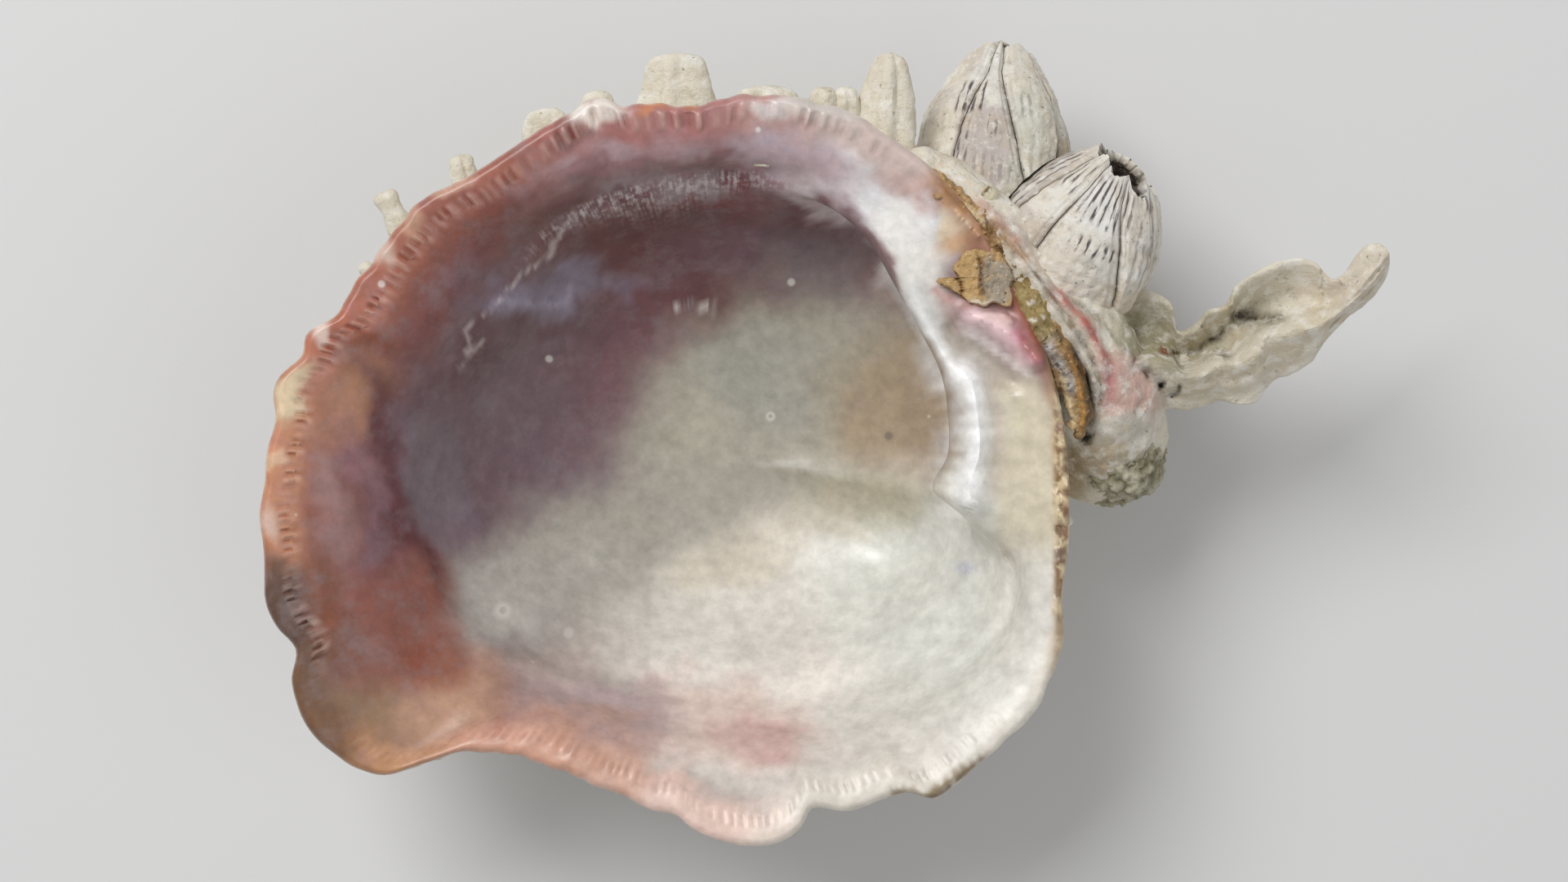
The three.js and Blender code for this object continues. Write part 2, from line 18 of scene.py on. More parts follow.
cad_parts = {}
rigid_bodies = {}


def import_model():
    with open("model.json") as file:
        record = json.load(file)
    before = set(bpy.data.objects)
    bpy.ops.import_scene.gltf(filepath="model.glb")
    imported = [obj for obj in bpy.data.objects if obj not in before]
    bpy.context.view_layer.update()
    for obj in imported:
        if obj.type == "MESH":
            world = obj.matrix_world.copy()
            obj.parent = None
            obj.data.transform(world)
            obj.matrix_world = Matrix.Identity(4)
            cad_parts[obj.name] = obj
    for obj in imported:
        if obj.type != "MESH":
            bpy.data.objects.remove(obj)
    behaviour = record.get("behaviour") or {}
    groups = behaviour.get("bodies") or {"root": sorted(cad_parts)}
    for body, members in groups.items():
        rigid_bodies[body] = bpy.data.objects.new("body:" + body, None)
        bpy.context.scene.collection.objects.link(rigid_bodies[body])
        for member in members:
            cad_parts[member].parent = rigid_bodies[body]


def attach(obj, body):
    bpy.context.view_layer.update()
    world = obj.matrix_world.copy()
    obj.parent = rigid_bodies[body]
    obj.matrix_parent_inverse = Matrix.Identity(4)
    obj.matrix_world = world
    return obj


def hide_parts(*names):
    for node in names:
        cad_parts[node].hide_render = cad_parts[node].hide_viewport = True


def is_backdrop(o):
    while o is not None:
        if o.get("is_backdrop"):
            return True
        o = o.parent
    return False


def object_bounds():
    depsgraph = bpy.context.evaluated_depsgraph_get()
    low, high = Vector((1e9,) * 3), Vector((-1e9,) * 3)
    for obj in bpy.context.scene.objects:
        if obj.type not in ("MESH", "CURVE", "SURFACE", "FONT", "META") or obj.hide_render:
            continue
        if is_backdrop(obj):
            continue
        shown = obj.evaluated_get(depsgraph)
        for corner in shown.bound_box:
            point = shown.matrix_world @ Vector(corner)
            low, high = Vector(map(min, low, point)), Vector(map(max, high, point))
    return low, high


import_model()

MM = 0.001
TURN = 2.0 * math.pi
LOG = logging.getLogger("shell")
CAD_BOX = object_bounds()
Array = np.ndarray


# ---------------------------------------------------------------- small mathematics
def mix(a: Array, b: Array, t: Array) -> Array:
    """Blends a towards b by t.

    Args:
        a: Where the blend starts.
        b: Where it ends.
        t: How far along it is, from 0 to 1.

    Returns:
        The blend.
    """
    return a + (b - a) * t


def smooth(t: Array) -> Array:
    """Eases t from 0 to 1.

    Args:
        t: How far along it is, from 0 to 1.

    Returns:
        The eased values.
    """
    x = np.clip(t, 0.0, 1.0)
    return x * x * (3.0 - 2.0 * x)


def grain(points: Array, size: float, octaves: int = 3, seed: float = 0.0) -> Array:
    """Fractal noise at each point.

    Args:
        points: Positions in mm, one row each.
        size: Size of the largest lumps in mm.
        octaves: How many finer layers are added.
        seed: Shifts the pattern.

    Returns:
        Values of about -1 to 1.
    """
    shift = Vector((seed, seed * 1.7, -seed))
    return np.array([noise.fractal(Vector(p) / size + shift, 0.9, 2.0, octaves) for p in points])


def along(points: Array, line: list[tuple[float, float]]) -> tuple[Array, Array]:
    """Measures points against a line drawn in plan.

    Args:
        points: Positions in mm, one row each.
        line: The line's plan corners in mm.

    Returns:
        Each point's plan distance to the line in mm, and how far along it lies, 0 to 1.
    """
    corners = np.array(line, dtype=float)
    spans = corners[1:] - corners[:-1]
    lengths = np.linalg.norm(spans, axis=1)
    starts = np.concatenate([[0.0], np.cumsum(lengths)])
    best = np.full(len(points), 1e9)
    share = np.zeros(len(points))
    for corner, span, length, start in zip(corners, spans, lengths, starts):
        offset = points[:, :2] - corner
        t = np.clip(offset @ span / length**2, 0.0, 1.0)
        distance = np.linalg.norm(offset - t[:, None] * span, axis=1)
        nearer = distance < best
        best = np.where(nearer, distance, best)
        share = np.where(nearer, (start + t * length) / starts[-1], share)
    return best, share


@dataclass(frozen=True)
class Relief:
    """A ridge, or with a negative height a groove, that follows a line in plan."""

    line: list[tuple[float, float]]
    width: float
    height: float
    rough: float = 0.0

    def rise(self, points: Array) -> Array:
        """Height in mm that the relief adds at each point.

        Args:
            points: Positions in mm, one row each.

        Returns:
            One height for each point.
        """
        distance, share = along(points, self.line)
        taper = smooth(share / 0.12) * smooth((1.0 - share) / 0.12)
        shape = np.exp(-((distance / self.width) ** 2))
        wobble = 1.0 + self.rough * np.sin(share * 37.0 + 1.3) * np.sin(share * 17.0)
        return self.height * shape * (0.25 + 0.75 * taper) * wobble


class Contour:
    """A closed outline kept as polar stations about a pole, joined by a smooth curve."""

    def __init__(self, pole: tuple[float, float], points: list[tuple[float, float, float]]) -> None:
        """Sorts the outline's points by angle.

        Args:
            pole: Plan position that the angles are measured about.
            points: Plan position and height of each station, in mm.
        """
        rows = np.array(points, dtype=float)
        dx, dy = rows[:, 0] - pole[0], rows[:, 1] - pole[1]
        order = np.argsort(np.arctan2(dy, dx))
        self.angle = np.arctan2(dy, dx)[order]
        self.values = np.stack([np.hypot(dx, dy), rows[:, 2]], 1)[order]

    def at(self, theta: Array) -> tuple[Array, Array]:
        """Radius and height of the outline at each angle, in mm.

        Args:
            theta: Angles about the pole, in radians.

        Returns:
            The radii and the heights.
        """
        count = len(self.angle)
        wrapped = (theta - self.angle[0]) % TURN + self.angle[0]
        i = np.clip(np.searchsorted(self.angle, wrapped, side="right") - 1, 0, count - 1)
        before, after, beyond = (i - 1) % count, (i + 1) % count, (i + 2) % count
        h0 = (self.angle[i] - self.angle[before]) % TURN
        h1 = (self.angle[after] - self.angle[i]) % TURN
        h2 = (self.angle[beyond] - self.angle[after]) % TURN
        t = ((wrapped - self.angle[i]) / h1)[:, None]
        p0, p1, p2, p3 = (self.values[k] for k in (before, i, after, beyond))
        m1 = (p2 - p0) * (h1 / (h0 + h1))[:, None]
        m2 = (p3 - p1) * (h1 / (h1 + h2))[:, None]
        t2, t3 = t * t, t * t * t
        value = (2 * t3 - 3 * t2 + 1) * p1 + (t3 - 2 * t2 + t) * m1
        value = value + (3 * t2 - 2 * t3) * p2 + (t3 - t2) * m2
        return value[:, 0], value[:, 1]


def spline(controls: Array, position: Array) -> Array:
    """Centripetal curve through a row of controls.

    Args:
        controls: Control values, shaped (controls, points, axes).
        position: Where each point lies, in controls from the first.

    Returns:
        One value for each point, shaped (points, axes).
    """
    last = len(controls) - 1
    span = np.clip(position.astype(int), 0, last - 1)
    t = (position - span)[:, None]
    steps = np.sqrt(np.linalg.norm(np.diff(controls, axis=0), axis=2)) + 1e-6
    pick = np.arange(len(position))
    i0, i3 = np.clip(span - 1, 0, last), np.clip(span + 2, 0, last)
    p0, p1, p2, p3 = (controls[k, pick] for k in (i0, span, span + 1, i3))
    h1 = steps[span, pick][:, None]
    h0 = steps[np.clip(span - 1, 0, last - 1), pick][:, None]
    h2 = steps[np.clip(span + 1, 0, last - 1), pick][:, None]
    first = (p1 - p0) / h0 * h1 / (h0 + h1) + (p2 - p1) / h1 * h0 / (h0 + h1)
    second = (p2 - p1) / h1 * h2 / (h1 + h2) + (p3 - p2) / h2 * h1 / (h1 + h2)
    first = np.where((span == 0)[:, None], (p2 - p1) / h1, first)
    second = np.where((span == last - 1)[:, None], (p2 - p1) / h1, second)
    t2, t3 = t * t, t * t * t
    value = (2 * t3 - 3 * t2 + 1) * p1 + (t3 - 2 * t2 + t) * first * h1
    return value + (3 * t2 - 2 * t3) * p2 + (t3 - t2) * second * h1


# ---------------------------------------------------------------- modelling bench
def deselect() -> None:
    """Leaves nothing selected."""
    for other in bpy.context.view_layer.objects:
        other.select_set(False)


def only(piece: bpy.types.Object) -> None:
    """Selects one object alone and makes it active.

    Args:
        piece: The object.
    """
    deselect()
    piece.select_set(True)
    bpy.context.view_layer.objects.active = piece


def read_points(piece: bpy.types.Object) -> Array:
    """A mesh's vertex positions in metres, one row each.

    Args:
        piece: The object.

    Returns:
        The positions.
    """
    flat = np.empty(len(piece.data.vertices) * 3, dtype=np.float32)
    piece.data.vertices.foreach_get("co", flat)
    return flat.reshape(-1, 3).astype(float)


def write_points(piece: bpy.types.Object, points: Array) -> None:
    """Moves a mesh's vertices to positions given in mm.

    Args:
        piece: The object.
        points: Positions in mm, one row each.
    """
    piece.data.vertices.foreach_set("co", (points * MM).astype(np.float32).ravel())
    piece.data.update()


def flat_grid(name: str, columns: int, rows: int,
              finer: tuple[float, float] | None = None) -> bpy.types.Object:
    """Adds a unit grid that is shaped afterwards by its own two coordinates.

    Args:
        name: The new object's name.
        columns: Faces across.
        rows: Faces up.
        finer: Lowest and highest share of the height where each face is cut in four.

    Returns:
        The grid, with coordinates from 0 to 1.
    """
    deselect()
    bpy.ops.mesh.primitive_grid_add(x_subdivisions=columns, y_subdivisions=rows, size=1.0, location=(0, 0, 0))
    piece = bpy.context.object
    piece.name = name
    piece.data.name = name
    if finer:
        bpy.ops.object.mode_set(mode="EDIT")
        mesh = bmesh.from_edit_mesh(piece.data)
        for face in mesh.faces:
            height = face.calc_center_median().y + 0.5
            face.select_set(bool(finer[0] < height < finer[1]))
        mesh.select_flush_mode()
        bmesh.update_edit_mesh(piece.data)
        bpy.ops.mesh.subdivide(number_cuts=1)
        bpy.ops.object.mode_set(mode="OBJECT")
    return piece


def unit(piece: bpy.types.Object) -> tuple[Array, Array]:
    """A unit grid's two coordinates at each vertex, from 0 to 1.

    Args:
        piece: The object.

    Returns:
        The shares across and up.
    """
    points = read_points(piece)
    return points[:, 0] + 0.5, points[:, 1] + 0.5


def close_up(piece: bpy.types.Object, distance: float = 0.0015) -> None:
    """Merges a wrapped grid's seams and turns its faces outwards.

    Args:
        piece: The object to close.
        distance: Points nearer than this, in mm, become one.
    """
    only(piece)
    bpy.ops.object.mode_set(mode="EDIT")
    bpy.ops.mesh.select_all(action="SELECT")
    bpy.ops.mesh.remove_doubles(threshold=distance * MM)
    bpy.ops.mesh.normals_make_consistent(inside=False)
    bpy.ops.object.mode_set(mode="OBJECT")


def apply_modifier(piece: bpy.types.Object, kind: str, **settings: object) -> None:
    """Adds a modifier with its settings and applies it at once.

    Args:
        piece: The object to change.
        kind: The modifier's type.
        **settings: Values for the modifier's properties.
    """
    only(piece)
    modifier = piece.modifiers.new(kind.title(), kind)
    for name, value in settings.items():
        setattr(modifier, name, value)
    bpy.ops.object.modifier_apply(modifier=modifier.name)


def unite(body: bpy.types.Object, other: bpy.types.Object) -> None:
    """Joins a closed solid to another where they overlap, and removes the other.

    Args:
        body: The solid that stays.
        other: The solid joined to it.
    """
    apply_modifier(body, "BOOLEAN", operation="UNION", solver="MANIFOLD", object=other)
    bpy.data.objects.remove(other, do_unlink=True)


def join(pieces: list[bpy.types.Object]) -> bpy.types.Object:
    """Makes one object of several that lie apart.

    Args:
        pieces: The objects; the first gives the whole its name.

    Returns:
        The joined object.
    """
    only(pieces[0])
    for piece in pieces[1:]:
        piece.select_set(True)
    bpy.ops.object.join()
    return bpy.context.object


def store(piece: bpy.types.Object, name: str, values: Array) -> None:
    """Keeps one number at each vertex, for a finish to read.

    Args:
        piece: The object.
        name: What the values are kept under.
        values: One number for each vertex.
    """
    attribute = piece.data.attributes.get(name) or piece.data.attributes.new(name, "FLOAT", "POINT")
    attribute.data.foreach_set("value", values.astype(np.float32))


def store_colour(piece: bpy.types.Object, name: str, colours: Array) -> None:
    """Keeps one linear colour at each vertex, for a finish to read.

    Args:
        piece: The object.
        name: What the values are kept under.
        colours: One linear colour for each vertex.
    """
    attribute = piece.data.color_attributes.new(name, "FLOAT_COLOR", "POINT")
    attribute.data.foreach_set("color", colours.astype(np.float32).ravel())


def fetch(piece: bpy.types.Object, name: str) -> Array:
    """The number kept at each vertex under a name.

    Args:
        piece: The object.
        name: What the values are kept under.

    Returns:
        One number for each vertex.
    """
    values = np.empty(len(piece.data.vertices), dtype=np.float32)
    piece.data.attributes[name].data.foreach_get("value", values)
    return values.astype(float)


def keep_largest(piece: bpy.types.Object) -> None:
    """Deletes every island of a mesh but the largest, so that a cut leaves no specks.

    Args:
        piece: The piece to clean.
    """
    ends = np.empty(len(piece.data.edges) * 2, dtype=np.int64)
    piece.data.edges.foreach_get("vertices", ends)
    ends = ends.reshape(-1, 2)
    label = np.arange(len(piece.data.vertices))
    while True:
        lowest = np.minimum(label[ends[:, 0]], label[ends[:, 1]])
        spread = label.copy()
        np.minimum.at(spread, ends[:, 0], lowest)
        np.minimum.at(spread, ends[:, 1], lowest)
        spread = spread[spread]
        if (spread == label).all():
            break
        label = spread
    stray = np.flatnonzero(label != np.bincount(label).argmax())
    if len(stray):
        work = bmesh.new()
        work.from_mesh(piece.data)
        work.verts.ensure_lookup_table()
        bmesh.ops.delete(work, geom=[work.verts[i] for i in stray], context="VERTS")
        work.to_mesh(piece.data)
        work.free()


def settle(piece: bpy.types.Object, node: str, finish: object, angle: float = 50.0) -> None:
    """Shades a finished piece, dresses it and gives it its place in the frame.

    Args:
        piece: The finished piece.
        node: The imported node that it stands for.
        finish: The finish that it wears.
        angle: Edges sharper than this, in degrees, stay sharp.
    """
    piece.name = f"{node}_form"
    keep_largest(piece)
    only(piece)
    bpy.ops.object.shade_smooth_by_angle(angle=math.radians(angle))
    piece.data.materials.clear()
    piece.data.materials.append(finish.material())
    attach(piece, "root")
    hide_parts(node)
    triangles = sum(len(face.vertices) - 2 for face in piece.data.polygons)
    LOG.info("%s: %d triangles", piece.name, triangles)


# ---------------------------------------------------------------- finishes
def linear(colour: str) -> tuple[float, float, float, float]:
    """Turns an sRGB hex value to the linear colour that a shader takes.

    Args:
        colour: The value, as #RRGGBB.

    Returns:
        Red, green, blue and a full alpha.
    """
    parts = [int(colour[i:i + 2], 16) / 255.0 for i in (1, 3, 5)]
    return (*(c / 12.92 if c <= 0.04045 else ((c + 0.055) / 1.055) ** 2.4 for c in parts), 1.0)


def add(tree: bpy.types.NodeTree, kind: str, inputs: dict | None = None,
        **settings: object) -> bpy.types.Node:
    """Adds a node with its settings and links.

    Args:
        tree: The tree that the node goes into.
        kind: The node's type, without its ShaderNode prefix.
        inputs: A value or a socket for each input, by name or number.
        **settings: Values for the node's properties.

    Returns:
        The node.
    """
    node = tree.nodes.new("ShaderNode" + kind)
    for name, value in settings.items():
        setattr(node, name, value)
    for key, value in (inputs or {}).items():
        if isinstance(value, bpy.types.NodeSocket):
            tree.links.new(value, node.inputs[key])
        else:
            node.inputs[key].default_value = value
    return node


def laid_over(tree: bpy.types.NodeTree, share: object, under: object, colour: object,
              how: str = "MIX") -> bpy.types.NodeSocket:
    """Lays one colour over another.

    Args:
        tree: The tree that the node goes into.
        share: How much of the upper colour shows, as a value or a socket.
        under: The colour beneath.
        colour: The colour on top.
        how: The way that the two are blended.

    Returns:
        The blended colour.
    """
    return add(tree, "Mix", {0: share, 6: under, 7: colour}, data_type="RGBA", blend_type=how).outputs[2]


@dataclass(frozen=True)
class Stain:
    """A soft-edged patch of colour, seen from above, in mm."""

    place: tuple[float, float]
    reach: tuple[float, float]
    colour: str
    turn: float = 0.0
    strength: float = 1.0
    blur: float = 0.35

    def share(self, points: Array) -> Array:
        """How strongly the stain covers each point, from 0 to 1.

        Args:
            points: Positions in mm, one row each.

        Returns:
            One share for each point.
        """
        turn = math.radians(self.turn)
        offset = points[:, :2] - np.array(self.place)
        x = (offset[:, 0] * math.cos(turn) + offset[:, 1] * math.sin(turn)) / self.reach[0]
        y = (offset[:, 1] * math.cos(turn) - offset[:, 0] * math.sin(turn)) / self.reach[1]
        return self.strength * smooth((1.0 + self.blur - np.hypot(x, y)) / (2.0 * self.blur))


@dataclass(frozen=True)
class Stroke:
    """A ragged line of colour along a ridge or crack, seen from above, in mm."""

    line: list[tuple[float, float]]
    width: float
    colour: str
    strength: float = 1.0
    ragged: float = 0.35

    def share(self, points: Array) -> Array:
        """How strongly the line covers each point, from 0 to 1.

        Args:
            points: Positions in mm, one row each.

        Returns:
            One share for each point.
        """
        distance, length = along(points, self.line)
        ends = smooth(length / 0.1) * smooth((1.0 - length) / 0.1)
        wobble = 1.0 + self.ragged * np.sin(length * 41.0 + self.width * 9.0) * np.sin(length * 23.0)
        return self.strength * np.exp(-((distance / (self.width * wobble)) ** 2)) * (0.25 + 0.75 * ends)


def stained(points: Array, base: str | Array, stains: tuple[Stain | Stroke, ...]) -> Array:
    """Lays a row of colour patches and lines, stains and painted light and shade alike, in order, over a
    base.

    Args:
        points: Positions in mm, one row each.
        base: One hex colour, or a linear colour for each point.
        stains: The patches and lines, the lowest first.

    Returns:
        One linear colour for each point.
    """
    colour = np.tile(np.array(linear(base)), (len(points), 1)) if isinstance(base, str) else base
    for stain in stains:
        colour = mix(colour, np.array(linear(stain.colour)), stain.share(points)[:, None])
    return colour


@dataclass(frozen=True)
class Spot:
    """A small crisp fleck, smaller than the mesh can carry, in mm."""

    place: tuple[float, float]
    radius: float
    colour: str
    hollow: float = 0.0

    def over(self, tree: bpy.types.NodeTree, place: bpy.types.NodeSocket,
             under: bpy.types.NodeSocket) -> bpy.types.NodeSocket:
        """Lays the fleck over a colour.

        Args:
            tree: The material's tree.
            place: Position on the shell.
            under: The colour beneath.

        Returns:
            The flecked colour.
        """
        flat = add(tree, "VectorMath", {0: place, 1: (1.0, 1.0, 0.0)}, operation="MULTIPLY")
        centre = (self.place[0] * MM, self.place[1] * MM, 0.0)
        reach = add(tree, "VectorMath", {0: flat.outputs[0], 1: centre}, operation="DISTANCE")
        fade = add(tree, "MapRange", {
            "Value": reach.outputs["Value"], "From Min": self.radius * 0.6 * MM,
            "From Max": self.radius * 1.2 * MM, "To Min": 0.75, "To Max": 0.0,
        })
        share = fade.outputs["Result"]
        if self.hollow:
            core = add(tree, "MapRange", {
                "Value": reach.outputs["Value"], "From Min": self.hollow * 0.7 * MM,
                "From Max": self.hollow * 1.2 * MM, "To Min": 0.15, "To Max": 1.0,
            })
            share = add(tree, "Math", {0: share, 1: core.outputs["Result"]}, operation="MULTIPLY").outputs[0]
        return laid_over(tree, share, under, linear(self.colour))


@dataclass(frozen=True)
class Patch:
    """Cloudy blotches of one colour scattered over a surface; the size is in mm."""

    size: float
    colour: str
    cover: tuple[float, float] = (0.52, 0.7)
    strength: float = 0.6
    detail: float = 5.0

    def over(self, tree: bpy.types.NodeTree, place: bpy.types.NodeSocket,
             under: bpy.types.NodeSocket) -> bpy.types.NodeSocket:
        """Lays the blotches over a colour.

        Args:
            tree: The material's tree.
            place: Position on the piece.
            under: The colour beneath.

        Returns:
            The blotched colour.
        """
        cloud = add(tree, "TexNoise", {
            "Vector": place, "Scale": 1.0 / (self.size * MM), "Detail": self.detail, "Roughness": 0.62,
        })
        share = add(tree, "MapRange", {
            "Value": cloud.outputs["Fac"], "From Min": self.cover[0], "From Max": self.cover[1],
            "To Min": 0.0, "To Max": self.strength,
        })
        return laid_over(tree, share.outputs["Result"], under, linear(self.colour))


@dataclass(frozen=True)
class Weathered:
    """A rough mineral or dried skin: painted clouds, scattered blotches, pores and grit.

    Scattered blotches break up the painted colour, pores show as dark pinpricks, and the grit's
    bump keeps every highlight dull and broken.
    """

    name: str
    patches: tuple[Patch, ...]
    roughness: float = 0.85
    grit: float = 0.9
    depth: float = 0.6
    pores: float = 0.0
    pore_colour: str = "#5E5647"
    sheen: float = 0.0
    streaked: bool = False

    def material(self) -> bpy.types.Material:
        """The finish as a material.

        Returns:
            The material.
        """
        material = bpy.data.materials.new(self.name)
        material.use_nodes = True
        tree = material.node_tree
        shader = tree.nodes["Principled BSDF"]
        place = add(tree, "TexCoord").outputs["Object"]
        colour = add(tree, "Attribute", attribute_name="tint").outputs["Color"]
        for patch in self.patches:
            colour = patch.over(tree, place, colour)
        if self.streaked:
            colour = self.streaks(tree, colour)
        if self.pores:
            cells = add(tree, "TexVoronoi", {"Vector": place, "Scale": 1.0 / (1.3 * MM), "Randomness": 1.0})
            pore = add(tree, "MapRange", {
                "Value": cells.outputs["Distance"], "From Min": 0.06, "From Max": 0.16,
                "To Min": 0.8, "To Max": 0.0,
            })
            chance = add(tree, "SeparateColor", {0: cells.outputs["Color"]})
            chosen = add(tree, "Math", {0: chance.outputs[0], 1: self.pores}, operation="LESS_THAN")
            share = add(tree, "Math", {0: pore.outputs["Result"], 1: chosen.outputs[0]}, operation="MULTIPLY")
            colour = laid_over(tree, share.outputs[0], colour, linear(self.pore_colour))
        tree.links.new(colour, shader.inputs["Base Color"])
        grit = add(tree, "TexNoise", {
            "Vector": place, "Scale": 1.0 / (self.grit * MM), "Detail": 7.0, "Roughness": 0.68,
        })
        rough = add(tree, "MapRange", {
            "Value": grit.outputs["Fac"], "From Min": 0.3, "From Max": 0.7,
            "To Min": self.roughness - 0.14, "To Max": min(self.roughness + 0.1, 1.0),
        })
        tree.links.new(rough.outputs["Result"], shader.inputs["Roughness"])
        shader.inputs["Coat Weight"].default_value = self.sheen
        shader.inputs["Coat Roughness"].default_value = 0.28
        bump = add(tree, "Bump", {
            "Height": grit.outputs["Fac"], "Distance": self.depth * MM, "Strength": 0.7,
        })
        tree.links.new(bump.outputs[0], shader.inputs["Normal"])
        return material

    def streaks(self, tree: bpy.types.NodeTree, under: bpy.types.NodeSocket) -> bpy.types.NodeSocket:
        """Lays the fine dark tubes that show through a worn barnacle wall.

        Args:
            tree: The material's tree.
            under: The colour beneath.

        Returns:
            The streaked colour.
        """
        round_axis = add(tree, "Attribute", attribute_name="meridian").outputs["Fac"]
        climb = add(tree, "Attribute", attribute_name="climb").outputs["Fac"]
        mask = add(tree, "Attribute", attribute_name="streak").outputs["Fac"]
        at = add(tree, "CombineXYZ", {"X": round_axis, "Y": climb})
        drawn = add(tree, "Mapping", {"Vector": at.outputs[0], "Scale": (2.6, 0.5, 1.0)})
        breaks = add(tree, "TexNoise", {"Vector": drawn.outputs[0], "Scale": 1.0, "Detail": 2.0})
        swung = add(tree, "Math", {0: breaks.outputs["Fac"], 1: 3.0}, operation="MULTIPLY")
        phase = add(tree, "Math", {0: round_axis, 1: 2.0 * math.pi / 0.62, 2: swung.outputs[0]},
                    operation="MULTIPLY_ADD")
        wave = add(tree, "Math", {0: phase.outputs[0]}, operation="SINE")
        line = add(tree, "MapRange", {"Value": wave.outputs[0], "From Min": -0.1, "From Max": 0.7})
        part = add(tree, "MapRange", {"Value": breaks.outputs["Fac"], "From Min": 0.4, "From Max": 0.5})
        dark = add(tree, "Math", {0: line.outputs["Result"], 1: part.outputs["Result"]}, operation="MULTIPLY")
        share = add(tree, "Math", {0: dark.outputs[0], 1: mask}, operation="MULTIPLY", use_clamp=True)
        return laid_over(tree, share.outputs[0], under, linear("#5F5759"))
